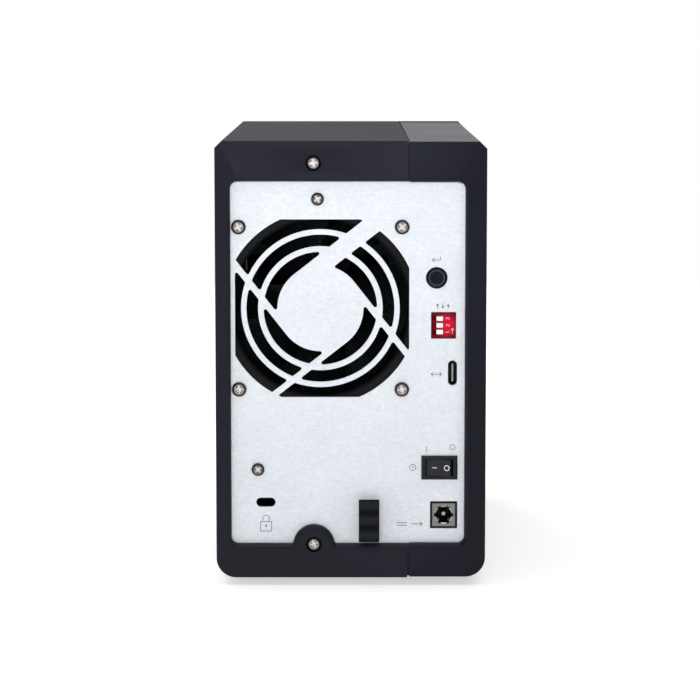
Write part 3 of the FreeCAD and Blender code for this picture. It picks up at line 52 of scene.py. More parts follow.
# --------------------------------------------------------------------- material helpers
class Finish:
    """A node material under construction, with short calls for the patterns used here."""

    def __init__(self, name, colour, roughness, metallic=0.0, **sockets):
        self.material = bpy.data.materials.new(name)
        self.material.use_nodes = True
        self.tree = self.material.node_tree
        self.shader = self.tree.nodes["Principled BSDF"]
        self.set("Base Color", (*colour, 1.0))
        self.set("Roughness", roughness)
        self.set("Metallic", metallic)
        for label, value in sockets.items():
            self.set(label.replace("_", " "), value)
        self.coords = self.add("ShaderNodeTexCoord").outputs["Object"]

    def add(self, kind, **values):
        """A new shader node, with its own settings."""
        node = self.tree.nodes.new(kind)
        for key, value in values.items():
            setattr(node, key, value)
        return node

    def set(self, label, value):
        """A uniform value on one of the shader's sockets."""
        self.shader.inputs[label].default_value = value

    def link(self, output, target):
        self.tree.links.new(output, target)

    def stretched(self, x, y, z):
        """Object coordinates scaled along each axis."""
        mapping = self.add("ShaderNodeMapping")
        mapping.inputs["Scale"].default_value = (x, y, z)
        self.link(self.coords, mapping.inputs["Vector"])
        return mapping.outputs["Vector"]

    def noise(self, scale, detail, rough, vector=None):
        """Noise value; object coordinates are metres, so scale counts cells in a metre."""
        node = self.add("ShaderNodeTexNoise")
        node.inputs["Scale"].default_value = scale
        node.inputs["Detail"].default_value = detail
        node.inputs["Roughness"].default_value = rough
        self.link(vector or self.coords, node.inputs["Vector"])
        return node.outputs["Fac"]

    def cells(self, scale):
        """Distance to the nearest of randomly placed points, scale of them along a metre."""
        node = self.add("ShaderNodeTexVoronoi")
        node.inputs["Scale"].default_value = scale
        self.link(self.coords, node.inputs["Vector"])
        return node.outputs["Distance"]

    def ramp(self, source, low, high, colour_low, colour_high):
        """Colour ramp between two positions."""
        return self.stops(source, [(low, colour_low), (high, colour_high)])

    def spread(self, source, low, high, out_low, out_high):
        """Map a value from one span to another."""
        node = self.add("ShaderNodeMapRange")
        for label, value in zip(("From Min", "From Max", "To Min", "To Max"),
                                (low, high, out_low, out_high)):
            node.inputs[label].default_value = value
        self.link(source, node.inputs["Value"])
        return node.outputs["Result"]

    def axis(self, source, letter):
        """One component of a vector."""
        node = self.add("ShaderNodeSeparateXYZ")
        self.link(source, node.inputs["Vector"])
        return node.outputs[letter]

    def stops(self, source, places):
        """Colour ramp through several (position, colour) stops."""
        node = self.add("ShaderNodeValToRGB")
        first, last = node.color_ramp.elements
        first.position, last.position = places[0][0], places[-1][0]
        first.color = (*places[0][1], 1.0)
        last.color = (*places[-1][1], 1.0)
        for place, colour in places[1:-1]:
            node.color_ramp.elements.new(place).color = (*colour, 1.0)
        self.link(source, node.inputs["Fac"])
        return node.outputs["Color"]

    def sum(self, first, second, share):
        """Weighted sum of two values; share is the second one's."""
        node = self.add("ShaderNodeMix", data_type="FLOAT")
        node.inputs["Factor"].default_value = share
        self.link(first, node.inputs["A"])
        self.link(second, node.inputs["B"])
        return node.outputs["Result"]

    def from_middle(self, node, reach):
        """Distance in the XZ plane from a CAD node's centre, as a share of reach."""
        low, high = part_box(node)
        flat = self.add("ShaderNodeVectorMath", operation="MULTIPLY")
        flat.inputs[1].default_value = (1, 0, 1)
        self.link(self.coords, flat.inputs[0])
        away = self.add("ShaderNodeVectorMath", operation="DISTANCE")
        away.inputs[1].default_value = ((low.x + high.x) / 2, 0, (low.z + high.z) / 2)
        self.link(flat.outputs["Vector"], away.inputs[0])
        return self.spread(away.outputs["Value"], 0.0, reach, 0.0, 1.0)

    def colour(self, output):
        """Base colour that follows a pattern."""
        self.link(output, self.shader.inputs["Base Color"])

    def gloss(self, source, low, high):
        """Roughness that follows a pattern."""
        self.link(self.spread(source, 0.3, 0.7, low, high), self.shader.inputs["Roughness"])

    def bump(self, source, strength, depth):
        """Relief that follows a pattern, depth in metres."""
        node = self.add("ShaderNodeBump")
        node.inputs["Strength"].default_value = strength
        node.inputs["Distance"].default_value = depth
        self.link(source, node.inputs["Height"])
        self.link(node.outputs["Normal"], self.shader.inputs["Normal"])

    def worn_edges(self, base, bright):
        """Base colour that turns brighter on convex edges."""
        flat, sharp = 0.52, 0.62
        pointiness = self.add("ShaderNodeNewGeometry").outputs["Pointiness"]
        mask = self.spread(pointiness, flat, sharp, 0.0, 1.0)
        node = self.add("ShaderNodeMix", data_type="RGBA")
        self.link(mask, node.inputs["Factor"])
        self.link(base, node.inputs["A"])
        node.inputs["B"].default_value = (*bright, 1.0)
        return node.outputs["Result"]


def grey(level, blue=0.0):
    """A grey, with a share more blue and a tenth of that share more green."""
    return (level, level * (1 + blue * 0.1), level * (1 + blue))


def scaled(colour, factor):
    """A colour made darker or lighter, no channel over 1."""
    return tuple(min(channel * factor, 1.0) for channel in colour)


def moulded(name, level, roughness, blue, grain=1900.0, depth=0.03, shine=0.16):
    """Injection-moulded plastic: cloudy tone, fine spark-eroded texture, worn edges."""
    finish = Finish(name, grey(level, blue), roughness, Specular_IOR_Level=shine)
    cloud = finish.noise(22.0, 4.0, 0.6)
    tone = finish.ramp(cloud, 0.3, 0.7, grey(level * 0.86, blue), grey(level * 1.16, blue))
    finish.colour(finish.worn_edges(tone, grey(level * 1.9, blue)))
    fine = finish.noise(grain, 2.0, 0.6)
    finish.gloss(finish.sum(cloud, fine, 0.6), roughness - 0.05, roughness + 0.06)
    finish.bump(fine, 0.35, depth * MM)
    return finish.material


def galvanised(name, level, roughness, metallic):
    """Galvanised sheet: pale blue-grey zinc with faint cloudy spangle and rolling grain."""
    finish = Finish(name, (level, level * 1.045, level * 1.10), roughness, metallic)
    spangle = finish.noise(800.0, 4.0, 0.7)
    drift = finish.noise(60.0, 3.0, 0.5)
    rolled = finish.noise(1100.0, 2.0, 0.6, finish.stretched(0.35, 1.0, 1.0))
    pattern = finish.sum(finish.sum(spangle, drift, 0.3), rolled, 0.3)
    dark = (level * 0.88, level * 0.935, level)
    light = (level * 1.07, level * 1.11, level * 1.16)
    finish.colour(finish.ramp(pattern, 0.38, 0.62, dark, light))
    finish.gloss(pattern, roughness - 0.07, roughness + 0.07)
    finish.bump(pattern, 0.1, 0.02 * MM)
    return finish.material


def bright_metal(name, colour, roughness, scale=1400.0):
    """Plated metal with fine machining marks and slightly dull patches."""
    finish = Finish(name, colour, roughness, 1.0)
    marks = finish.noise(scale, 3.0, 0.6, finish.stretched(1.0, 0.2, 1.0))
    patches = finish.noise(180.0, 2.0, 0.5)
    both = finish.sum(marks, patches, 0.5)
    finish.colour(finish.ramp(both, 0.35, 0.65, scaled(colour, 0.82), colour))
    finish.gloss(both, roughness - 0.06, roughness + 0.1)
    finish.bump(marks, 0.15, 0.02 * MM)
    return finish.material


def plated_painted_light(name, bright, stops, smooth, rough, metallic):
    """Plated part with painted highlights and shade: its tone follows how squarely each face looks to the rear, in
    place of the light that each face would reflect.

    Each stop is (share of the surface normal along +Y, colour); smooth and rough are the
    two ends of its roughness.
    """
    finish = Finish(name, bright, rough, metallic)
    normal = finish.add("ShaderNodeTexCoord").outputs["Normal"]
    # Painted light: faces that look squarely to the rear get a painted highlight, faces turned away get painted
    # shade.
    tone = finish.stops(finish.axis(normal, "Y"), stops)
    scratches = finish.noise(2400.0, 3.0, 0.6, finish.stretched(1.0, 0.3, 1.0))
    mottle = finish.ramp(scratches, 0.3, 0.7, grey(0.72), grey(1.0))
    blend = finish.add("ShaderNodeMix", data_type="RGBA", blend_type="MULTIPLY")
    blend.inputs["Factor"].default_value = 1.0
    finish.link(tone, blend.inputs["A"])
    finish.link(mottle, blend.inputs["B"])
    finish.colour(blend.outputs["Result"])
    finish.gloss(scratches, smooth, rough)
    finish.bump(scratches, 0.25, 0.02 * MM)
    return finish.material


def driven_screw(name):
    """Cross-recess screw with painted light: a painted highlight on the recess floor, a duller dome and painted
    shade on the steep flank.
    """
    bright = (0.95, 0.90, 0.88)
    # Painted shade on the steep flank, a duller dome, and a painted highlight on faces that look squarely to the
    # rear.
    stops = [(0.72, (0.018, 0.016, 0.017)), (0.985, (0.16, 0.13, 0.13)), (0.998, bright)]
    return plated_painted_light(name, bright, stops, 0.22, 0.42, metallic=0.45)


def jack_steel(name):
    """Stamped plate of the power jack: grey face, with a painted highlight on the rim around the hole and painted
    shade on faces turned sideways.
    """
    bright = (0.88, 0.86, 0.83)
    face = (0.22, 0.215, 0.21)
    # Painted shade on sideways faces, a painted highlight on the rim's slope, the plate's own grey on its face.
    stops = [(0.35, (0.05, 0.05, 0.05)), (0.6, bright), (0.85, bright), (0.97, face)]
    return plated_painted_light(name, bright, stops, 0.3, 0.5, metallic=0.35)


def button_plastic(name):
    """Black button cap with a painted highlight on its raised ring."""
    level = 0.0032
    cap_radius = 4.0 * MM
    plain = grey(level, 1.0)
    finish = Finish(name, plain, 0.34, Specular_IOR_Level=0.12)
    # Painted highlight: a brighter ring at about seven tenths of the cap's radius.
    painted_highlight_ring = [(0.6, plain), (0.67, grey(level * 15, 0.6)), (0.73, grey(level * 11, 0.6)),
                   (0.82, plain)]
    finish.colour(finish.stops(finish.from_middle("set_button", cap_radius), painted_highlight_ring))
    finish.bump(finish.noise(2600.0, 2.0, 0.6), 0.3, 0.006 * MM)
    return finish.material


def coloured_plastic(name, colour, roughness):
    """Smooth coloured moulding with a soft mottled tone."""
    finish = Finish(name, colour, roughness)
    mottle = finish.noise(300.0, 3.0, 0.5)
    finish.colour(finish.ramp(mottle, 0.3, 0.7, scaled(colour, 0.85), scaled(colour, 1.12)))
    finish.gloss(mottle, roughness - 0.04, roughness + 0.06)
    finish.bump(finish.noise(2200.0, 2.0, 0.5), 0.12, 0.02 * MM)
    return finish.material


def switch_plastic(name):
    """Red block of the mode switch, with painted shade darkening it towards its edges and corners."""
    red = (0.50, 0.002, 0.026)
    shaded_red = (0.11, 0.001, 0.008)
    corner_reach = 5.2 * MM
    finish = Finish(name, red, 0.45, Specular_IOR_Level=0.12)
    # Painted shade: the red darkens towards the block's edges and corners.
    away = finish.from_middle("mode_switch", corner_reach)
    finish.colour(finish.ramp(away, 0.55, 0.95, red, shaded_red))
    mottle = finish.noise(300.0, 3.0, 0.5)
    finish.gloss(mottle, 0.41, 0.51)
    finish.bump(finish.noise(2200.0, 2.0, 0.5), 0.12, 0.02 * MM)
    return finish.material


def rubbed_plastic(name):
    """Black hook with painted highlight bands across it, a sine wave down its height in place of the sheen on its
    curved face; start is the wave's phase at the hook's top.
    """
    finish = Finish(name, grey(0.004, 0.4), 0.4, Specular_IOR_Level=0.06)
    low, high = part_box("cable_hook")
    pitch = 5.7 * MM
    start = -0.63
    end = start + 2 * math.pi * (high.z - low.z) / pitch
    height = finish.axis(finish.coords, "Z")
    # Painted highlight: a sine wave down the hook's height gives paler bands in place of the sheen on its curved
    # face.
    swing = finish.add("ShaderNodeMath", operation="SINE")
    finish.link(finish.spread(height, high.z, low.z, start, end), swing.inputs[0])
    fine = finish.noise(2400.0, 2.0, 0.6)
    sheen_bands = finish.sum(finish.spread(swing.outputs["Value"], -1.0, 1.0, 0.0, 1.0), fine, 0.2)
    finish.colour(finish.ramp(sheen_bands, 0.15, 0.85, grey(0.0025, 0.6), grey(0.0125, 0.5)))
    finish.gloss(fine, 0.36, 0.46)
    finish.bump(fine, 0.3, 0.015 * MM)
    return finish.material


def circuit_board(name):
    """Solder mask over copper tracks, with rows of tinned pads."""
    mask_dark, mask_light = (0.005, 0.012, 0.010), (0.007, 0.016, 0.013)
    track, tinned = (0.016, 0.034, 0.028), (0.13, 0.13, 0.11)
    finish = Finish(name, (0.006, 0.013, 0.011), 0.4, Specular_IOR_Level=0.2)
    tracks = finish.add("ShaderNodeTexBrick")
    tracks.offset = 0.37
    tracks.inputs["Scale"].default_value = 260.0
    tracks.inputs["Mortar Size"].default_value = 0.022
    tracks.inputs["Color1"].default_value = (*mask_dark, 1)
    tracks.inputs["Color2"].default_value = (*mask_light, 1)
    tracks.inputs["Mortar"].default_value = (*track, 1)
    swap = finish.add("ShaderNodeMapping")
    swap.inputs["Rotation"].default_value = (math.radians(90), math.radians(12), math.radians(90))
    finish.link(finish.coords, swap.inputs["Vector"])
    finish.link(swap.outputs["Vector"], tracks.inputs["Vector"])
    pads = finish.cells(420.0)
    mask = finish.spread(pads, 0.1, 0.13, 1.0, 0.0)
    mix = finish.add("ShaderNodeMix", data_type="RGBA")
    finish.link(mask, mix.inputs["Factor"])
    finish.link(tracks.outputs["Color"], mix.inputs["A"])
    mix.inputs["B"].default_value = (*tinned, 1.0)
    finish.colour(mix.outputs["Result"])
    finish.bump(tracks.outputs["Fac"], 0.2, 0.02 * MM)
    return finish.material


def rubber(name):
    """Matt rubber with a dusty bloom."""
    finish = Finish(name, grey(0.018), 0.85)
    dust = finish.noise(500.0, 4.0, 0.6)
    finish.colour(finish.ramp(dust, 0.35, 0.75, grey(0.014), grey(0.035)))
    finish.bump(finish.noise(1600.0, 3.0, 0.6), 0.4, 0.04 * MM)
    return finish.material


def lens(name):
    """Clear light pipe with a faint milky core."""
    finish = Finish(name, (0.86, 0.9, 0.95), 0.12, Transmission_Weight=0.55, IOR=1.49)
    milk = finish.noise(700.0, 2.0, 0.5)
    finish.colour(finish.ramp(milk, 0.3, 0.7, (0.78, 0.84, 0.9), (0.95, 0.97, 1.0)))
    finish.bump(milk, 0.05, 0.02 * MM)
    return finish.material


def printed(name, colour, roughness=0.6):
    """Screen-printed ink, a little uneven."""
    finish = Finish(name, colour, roughness)
    cover = finish.noise(2600.0, 2.0, 0.6)
    finish.colour(finish.ramp(cover, 0.3, 0.7, scaled(colour, 0.9), scaled(colour, 1.12)))
    return finish.material


def ferrite(name):
    """Sintered coil body, speckled."""
    finish = Finish(name, grey(0.06), 0.6)
    speck = finish.cells(2200.0)
    finish.colour(finish.ramp(speck, 0.1, 0.6, grey(0.09), grey(0.04)))
    finish.bump(speck, 0.3, 0.03 * MM)
    return finish.material


FINISHES = {}


def register(name, make, **values):
    """Build a finish under the name that nodes ask for it by."""
    FINISHES[name] = make(name, **values)


register("cover_plastic", moulded, level=0.0066, roughness=0.52, blue=0.8, shine=0.18)
register("small_cover_plastic", moulded, level=0.0064, roughness=0.32, blue=0.8, shine=0.1)
register("frame_plastic", moulded, level=0.010, roughness=0.4, blue=0.5)
register("galvanised_steel", galvanised, level=0.638, roughness=0.42, metallic=0.2)
register("black_plastic", moulded, level=0.004, roughness=0.34, blue=0.4, grain=2400.0, depth=0.015)
register("fan_plastic", moulded, level=0.0028, roughness=0.4, blue=0.3, grain=1500.0, depth=0.02,
         shine=0.12)
register("rocker_plastic", moulded, level=0.006, roughness=0.3, blue=0.4, grain=2400.0, depth=0.01,
         shine=0.32)
register("housing_plastic", moulded, level=0.0062, roughness=0.38, blue=0.6, grain=2400.0,
         depth=0.01, shine=0.18)
register("button_plastic", button_plastic)
register("driven_screw", driven_screw)
register("switch_plastic", switch_plastic)
register("rubbed_plastic", rubbed_plastic)
register("dark_steel", bright_metal, colour=(0.035, 0.035, 0.04), roughness=0.36)
register("jack_steel", jack_steel)
register("port_tongue", coloured_plastic, colour=(0.26, 0.27, 0.27), roughness=0.4)
register("bright_screw", bright_metal, colour=(0.75, 0.70, 0.67), roughness=0.24)
register("foot_rubber", rubber)
register("white_plastic", coloured_plastic, colour=(0.84, 0.82, 0.79), roughness=0.4)
register("circuit_board", circuit_board)
register("chip_resin", moulded, level=0.010, roughness=0.55, blue=0.0, grain=2600.0, depth=0.02)
register("heat_sink_aluminium", bright_metal, colour=(0.78, 0.79, 0.8), roughness=0.34, scale=900.0)
register("light_lens", lens)
register("tray_plastic", moulded, level=0.009, roughness=0.4, blue=0.4, grain=1700.0, depth=0.025,
         shine=0.3)
register("lever_plastic", moulded, level=0.007, roughness=0.2, blue=0.4, grain=2600.0, depth=0.008,
         shine=0.4)
register("connector_steel", bright_metal, colour=(0.42, 0.42, 0.41), roughness=0.3)
register("coil_ferrite", ferrite)
register("ribbon_white", coloured_plastic, colour=(0.72, 0.72, 0.7), roughness=0.5)

OWN_FINISH = {"small_cover": "small_cover_plastic", "fan_frame": "fan_plastic",
              "fan_rotor": "fan_plastic", "power_rocker": "rocker_plastic",
              "rocker_housing": "housing_plastic", "set_button": "button_plastic",
              "fan_screws": "driven_screw", "panel_screws": "driven_screw",
              "casing_screws": "driven_screw", "mode_switch": "switch_plastic",
              "cable_hook": "rubbed_plastic",
              "data_port_shell": "dark_steel", "data_port_tongue": "port_tongue",
              "power_jack_face": "jack_steel"}


def dress_nodes():
    """Give every CAD node the procedural finish of its slot."""
    slots = {entry["node"]: entry["material_slot"] for entry in frame["record"]["subparts"]}
    for name, item in nodes.items():
        material = FINISHES[OWN_FINISH.get(name, slots[name])]
        if not item.material_slots:
            item.data.materials.append(material)
        for material_slot in item.material_slots:
            material_slot.material = material


# --------------------------------------------------------------------- printed marks
INK_THICK = 0.02
INK_LIFT = 0.005


def finished(piece, material, body):
    """Give a new piece its material and the body it rides."""
    piece.data.materials.append(material)
    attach(piece, body)


def stroke_mesh(name, lines, width, dots=()):
    """Flat strokes and dots in the XZ plane, as a thin closed mesh.

    Lines are lists of (x, z) points in millimetres; a dot is (x, z, radius). A line's sides
    keep their distance round a turn, up to the sharpest one, and a loose end overruns its
    point a little.
    """
    half = width / 2
    overrun = half * 0.8
    sharpest_turn = 0.4
    dot_sides = 20
    work = bmesh.new()

    def prism(points):
        """Thin closed solid over an outline."""
        back = [work.verts.new((x * MM, 0.0, z * MM)) for x, z in points]
        face = [work.verts.new((x * MM, INK_THICK * MM, z * MM)) for x, z in points]
        work.faces.new(back)
        work.faces.new(face[::-1])
        count = len(points)
        for n in range(count):
            work.faces.new((back[n], face[n], face[(n + 1) % count], back[(n + 1) % count]))

    for line in lines:
        closed = line[0] == line[-1]
        points = line[:-1] if closed else line
        count = len(points)
        left, right = [], []
        for n, (x, z) in enumerate(points):
            before = points[n - 1] if n or closed else (x, z)
            after = points[(n + 1) % count] if n < count - 1 or closed else (x, z)
            ahead = Vector((after[0] - x, after[1] - z))
            behind = Vector((x - before[0], z - before[1]))
            ahead = ahead.normalized() if ahead.length else behind.normalized()
            behind = behind.normalized() if behind.length else ahead
            along = (ahead + behind).normalized()
            reach = half / max(along.dot(ahead), sharpest_turn)
            end = 0.0 if closed or 0 < n < count - 1 else (overrun if n else -overrun)
            x, z = x + along.x * end, z + along.y * end
            left.append((x - along.y * reach, z + along.x * reach))
            right.append((x + along.y * reach, z - along.x * reach))
        for n in range(count if closed else count - 1):
            m = (n + 1) % count
            prism([left[n], right[n], right[m], left[m]])
    for x, z, radius in dots:
        angles = [2 * math.pi * n / dot_sides for n in range(dot_sides)]
        prism([(x + radius * math.cos(a), z - radius * math.sin(a)) for a in angles])
    bmesh.ops.recalc_face_normals(work, faces=work.faces)
    mesh = bpy.data.meshes.new(name)
    work.to_mesh(mesh)
    work.free()
    piece = bpy.data.objects.new(name, mesh)
    bpy.context.scene.collection.objects.link(piece)
    return piece


def arc(radius, start, end, steps, centre=(0.0, 0.0)):
    """Points along an arc, angles in degrees."""
    angles = [math.radians(start + (end - start) * n / steps) for n in range(steps + 1)]
    return [(centre[0] + radius * math.cos(a), centre[1] + radius * math.sin(a)) for a in angles]


def ring(radius):
    """Closed circle of points."""
    points = arc(radius, 0, 360, steps=28)[:-1]
    return points + points[:1]


def on_rear(name, place, lines, width, material=None, dots=(), level=None):
    """Printed mark on the rear, drawn as it is read from behind.

    Seen from the rear, right is -X. It goes on the panel in grey ink, or on the level and in
    the material given for it.
    """
    right, up = place
    mirrored = [[(-x, z) for x, z in line] for line in lines]
    flipped = [(-x, z, radius) for x, z, radius in dots]
    piece = stroke_mesh(name, mirrored, width, flipped)
    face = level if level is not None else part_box("rear_panel")[1].y
    piece.data.transform(Matrix.Translation((-right, face + INK_LIFT * MM, up)))
    finished(piece, material or INK, "chassis")


def beside(node, right, up):
    """Place on the rear as (right, up), millimetres from a node's centre."""
    low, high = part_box(node)
    return -(low.x + high.x) / 2 + right * MM, (low.z + high.z) / 2 + up * MM


def above(node, right, gap):
    """Place on the rear, right of a node's centre and a gap above its top, in millimetres."""
    low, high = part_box(node)
    return -(low.x + high.x) / 2 + right * MM, high.z + gap * MM


INK = printed("grey_ink", (0.17, 0.18, 0.2))
WHITE_INK = printed("white_ink", (0.80, 0.55, 0.58))
SOFT_WHITE_INK = printed("soft_white_ink", (0.62, 0.62, 0.64))

ENTER_ARROW = [[(1.5, 0.8), (1.5, -0.35), (-1.5, -0.35)],
               [(-0.8, 0.35), (-1.6, -0.35), (-0.8, -1.05)]]
DOUBLE_ARROW = [[(-1.9, 0), (1.9, 0)], [(-1.3, 0.7), (-2.0, 0), (-1.3, -0.7)],
                [(1.3, 0.7), (2.0, 0), (1.3, -0.7)]]
DIRECT_CURRENT_IN = [[(-5.1, 0.45), (-1.5, 0.45)], [(-5.1, -0.55), (-4.3, -0.55)],
                     [(-3.7, -0.55), (-2.9, -0.55)], [(-2.3, -0.55), (-1.5, -0.55)],
                     [(0.5, 0), (4.4, 0)], [(3.6, 0.8), (4.5, 0), (3.6, -0.8)]]
SHACKLE = [(-1.25, 0.7)] + [(x, z + 1.9) for x, z in arc(1.25, 180, 0, 14)] + [(1.25, 0.7)]
PADLOCK = [[(-2.1, -2.9), (2.1, -2.9), (2.1, 0.7), (-2.1, 0.7), (-2.1, -2.9)], SHACKLE,
           [(0, -0.9), (0, -1.7)]]
KEYHOLE = (0, -0.8, 0.42)


def three_sliders():
    """Three tracks with a knob at a different height on each, as strokes and dots."""
    pitch, reach, knob_radius = 2.0, 0.85, 0.42
    knobs = ((-pitch, 0.35), (0.0, -0.4), (pitch, 0.1))
    return [[(x, reach), (x, -reach)] for x, _ in knobs], [(x, z, knob_radius) for x, z in knobs]


def panel_marks():
    """Icons beside the controls, in place of words."""
    bold, medium, standard, thin = 0.34, 0.32, 0.3, 0.26
    bar, standby = [(0, 0.85), (0, -0.85)], [ring(1.15), [(0, 0.45), (0, -0.1)]]
    on_rear("mark_set", beside("set_button", -0.1, 7.1), ENTER_ARROW, standard)
    lines, dots = three_sliders()
    over_sliders, _ = beside("mode_slider_2", 1.1, 0)
    _, over_switch = above("mode_switch", 0, 2.5)
    on_rear("mark_mode", (over_sliders, over_switch), lines, thin, dots=dots)
    on_rear("mark_data", beside("data_port_tongue", -6.1, -0.5), DOUBLE_ARROW, standard)
    on_rear("mark_on", above("rocker_housing", -4.9, 2.4), [bar], bold)
    on_rear("mark_off", above("rocker_housing", 5.0, 3.2), [ring(0.95)], standard)
    on_rear("mark_standby", beside("rocker_housing", -10.1, -0.05), standby, medium)
    on_rear("mark_direct", beside("power_jack_face", -12.6, -3.5), DIRECT_CURRENT_IN, bold)
    mounts = {mount["name"]: mount["pos_m"] for mount in frame["record"]["mounts"]}
    slot_x, _, slot_z = mounts["security_slot"]
    on_rear("mark_padlock", (-slot_x, slot_z - 8.2 * MM), PADLOCK, standard, dots=[KEYHOLE])


def mode_marks():
    """Digits beside the sliders and an arrow for their on side, turned a quarter as on the block."""
    digits = {
        1: [[(-0.3, 0.35), (0, 0.6), (0, -0.6)]],
        2: [arc(0.35, 170, -30, 8, (0, 0.25)) + [(-0.38, -0.6), (0.4, -0.6)]],
        3: [arc(0.32, 150, -90, 8, (0, 0.29)) + arc(0.34, 90, -150, 8, (0, -0.29))[1:]],
    }
    arrow = [[(0, -1.0), (0, 1.0)], [(-0.5, 0.45), (0, 1.05), (0.5, 0.45)]]
    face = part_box("mode_switch")[1].y
    for slider, digit in ((3, 1), (2, 2), (1, 3)):
        turned = [[(-z, x) for x, z in line] for line in digits[digit]]
        on_rear(f"mode_digit_{digit}", beside(f"mode_slider_{slider}", 2.9, 0), turned, 0.15,
                WHITE_INK, level=face)
    on_rear("mode_arrow", beside("mode_slider_3", 4.75, 0.3), arrow, 0.16, WHITE_INK,
            level=face)


def rocker_marks():
    """Bar and ring on the paddle's two faces, which meet in a valley over the pivot.

    Each face rises from the valley by half the throw, and the paddle rests turned by the same
    angle.
    """
    joint = next(j for j in frame["joints"] if j["name"] == "power_rocker_tilt")
    pivot = Vector(joint["pos_m"])
    half = math.radians(joint["range_deg"][1]) / 2
    valley, lift = 1.7 * MM, 0.01 * MM
    marks = (("rocker_bar", 1, 1.6, [(-0.75, 0), (0.75, 0)]), ("rocker_ring", -1, 3.2, ring(0.95)))
    for name, side, reach, line in marks:
        piece = stroke_mesh(name, [line], 0.32)
        piece.data.transform(Matrix.Translation((side * reach * MM, lift, 0)))
        piece.data.transform(Matrix.Rotation(side * half, 4, "Z"))
        piece.data.transform(Matrix.Translation((0, valley, 0)))
        piece.data.transform(Matrix.Rotation(-half, 4, "Z"))
        piece.data.transform(Matrix.Translation(pivot))
        finished(piece, SOFT_WHITE_INK, "power_rocker")


def on_front(name, right, up, lines, width, face, body="chassis", dots=()):
    """Printed mark facing the front, where right is +X; face is the level that it is printed on."""
    piece = stroke_mesh(name, lines, width, dots)
    piece.data.transform(Matrix.Translation((right, face - (INK_THICK + INK_LIFT) * MM, up)))
    finished(piece, SOFT_WHITE_INK, body)


def status_marks():
    """Icons beside the five status lights, top to bottom: power, link, two bays and cooling."""
    low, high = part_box("light_pipes")
    count = 5
    pipe_width = high.x - low.x
    step = (high.z - low.z - pipe_width) / (count - 1)
    first = low.z + pipe_width / 2
    right = high.x + 4.0 * MM
    blade = [(0, 0), (0.5, 0.55), (1.2, 0.6)]
    thirds = [2 * math.pi * n / 3 for n in range(3)]
    turned = [[(x * math.cos(a) - z * math.sin(a), x * math.sin(a) + z * math.cos(a))
               for x, z in blade] for a in thirds]
    bay = [(-1.2, -0.8), (1.2, -0.8), (1.2, 0.8), (-1.2, 0.8), (-1.2, -0.8)]
    icons = {
        "power": ([arc(1.1, 120, 420, 20), [(0, 1.45), (0, 0.2)]], ()),
        "link": ([[(-1.0, -0.7), (0, 0.75), (1.0, -0.7), (-1.0, -0.7)]],
                 ((-1.0, -0.7, 0.42), (0, 0.75, 0.42), (1.0, -0.7, 0.42))),
        "bay_1": ([bay, [(0, 0.4), (0, -0.4)]], ()),
        "bay_2": ([bay, [(-0.35, 0.4), (-0.35, -0.4)], [(0.35, 0.4), (0.35, -0.4)]], ()),
        "cooling": (turned, ((0, 0, 0.32),)),
    }
    for number, (name, (lines, dots)) in enumerate(icons.items()):
        up = first + (count - 1 - number) * step
        on_front(f"mark_{name}", right, up, lines, 0.24, low.y, dots=dots)


def tray_marks():
    """A bay number over each lever, an arrow on the lever and the lock's quarter turn."""
    digits = {1: [[(-0.7, 0.9), (0, 1.4), (0, -1.4)]],
              2: [arc(0.85, 165, -35, 12, (0, 0.55)) + [(-0.85, -1.4), (0.95, -1.4)]]}
    arrow = [[(-1.2, -0.35), (0, 0.75), (1.2, -0.35)]]
    stop_radius, stop_dot = 4.4, 0.42
    for bay, strokes in digits.items():
        low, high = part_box(f"tray_{bay}_bezel")
        centre = (low.x + high.x) / 2
        on_front(f"tray_{bay}_number", centre, high.z - 3.1 * MM, strokes, 0.34, low.y,
                 f"tray_{bay}")
        lever_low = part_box(f"tray_{bay}_lever")[0]
        on_front(f"tray_{bay}_arrow", centre, lever_low.z + 4.2 * MM, arrow, 0.34, lever_low.y,
                 f"tray_{bay}_lever")
        axis = next(j for j in frame["joints"] if j["name"] == f"tray_{bay}_lock_turn")["pos_m"]
        on_front(f"tray_{bay}_lock_stops", axis[0], axis[2], [arc(stop_radius, 84, 6, 12)], 0.24,
                 low.y, f"tray_{bay}",
                 dots=((0, stop_radius, stop_dot), (stop_radius, 0, stop_dot)))


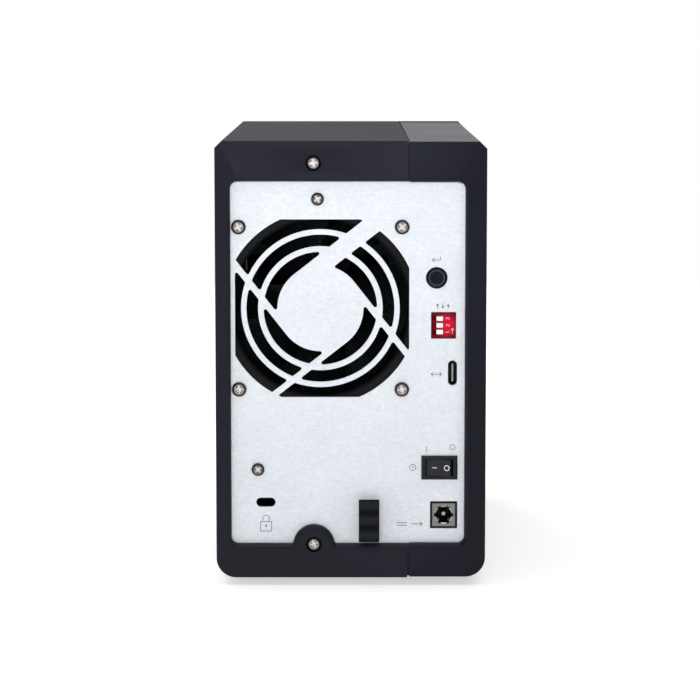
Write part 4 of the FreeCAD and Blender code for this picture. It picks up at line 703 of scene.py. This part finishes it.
# --------------------------------------------------------------------- stage, light, camera
def stage():
    """Pale floor that runs into a world that is pale near the horizon and dim overhead."""
    floor_radius, under_feet = 1.1, -0.0002
    white, overhead_grey = (1, 1, 1, 1), (0.3, 0.3, 0.31, 1)
    pale_until, dim_from = 0.10, 0.30
    paper = Finish("stage_paper", grey(0.58), 0.9, Specular_IOR_Level=0.1, Emission_Color=white,
                   Emission_Strength=0.55)
    disc = bmesh.new()
    bmesh.ops.create_circle(disc, cap_ends=True, segments=96, radius=floor_radius)
    mesh = bpy.data.meshes.new("floor")
    disc.to_mesh(mesh)
    disc.free()
    floor = bpy.data.objects.new("floor", mesh)
    floor.location.z = under_feet
    floor.data.materials.append(paper.material)
    bpy.context.scene.collection.objects.link(floor)
    world = bpy.data.worlds.new("studio")
    bpy.context.scene.world = world
    world.use_nodes = True
    tree = world.node_tree
    direction = tree.nodes.new("ShaderNodeTexCoord")
    split = tree.nodes.new("ShaderNodeSeparateXYZ")
    ramp = tree.nodes.new("ShaderNodeValToRGB")
    low, high = ramp.color_ramp.elements
    low.position, low.color = pale_until, white
    high.position, high.color = dim_from, overhead_grey
    tree.links.new(direction.outputs["Generated"], split.inputs["Vector"])
    tree.links.new(split.outputs["Z"], ramp.inputs["Fac"])
    tree.links.new(ramp.outputs["Color"], tree.nodes["Background"].inputs["Color"])


def area(name, place, target, size, power, spread=180, mirrored=False):
    """Square soft box aimed at a point; unless mirrored, no glossy surface reflects it."""
    data = bpy.data.lights.new(name, "AREA")
    data.shape = "RECTANGLE"
    data.size = data.size_y = size
    data.energy = power
    data.spread = math.radians(spread)
    lamp = bpy.data.objects.new(name, data)
    lamp.location = place
    direction = Vector(target) - Vector(place)
    lamp.visible_camera = False
    lamp.visible_glossy = mirrored
    lamp.rotation_euler = direction.to_track_quat("-Z", "Y").to_euler()
    bpy.context.scene.collection.objects.link(lamp)


def lights():
    """One wide overhead box, a fill that fades down the rear panel and another on the front."""
    area("overhead", place=(0, 0, 1.6), target=(0, 0, 0), size=2.4, power=28, mirrored=True)
    area("panel_light", place=(0.1, 1.3, 0.5), target=(0, 0.1, 0.4), size=0.5, power=1.25,
         spread=46)
    area("front_light", place=(0.6, -1.1, 0.7), target=(0, 0, 0.09), size=0.7, power=8)


def camera():
    """Camera at the photograph's angle: behind the object, a little above it, tilted down."""
    tilt = 6.79
    data = bpy.data.cameras.new("camera")
    data.sensor_width = 36.0
    data.lens = 139.5
    data.clip_start = 0.05
    eye = bpy.data.objects.new("camera", data)
    eye.location = (0.0003, 1.119, 0.2106)
    eye.rotation_euler = Euler((math.radians(90 - tilt), 0, math.radians(180)))
    bpy.context.scene.collection.objects.link(eye)
    bpy.context.scene.camera = eye


dress_nodes()
panel_marks()
mode_marks()
rocker_marks()
status_marks()
tray_marks()
stage()
lights()
camera()
bpy.context.scene.view_settings.view_transform = "Standard"
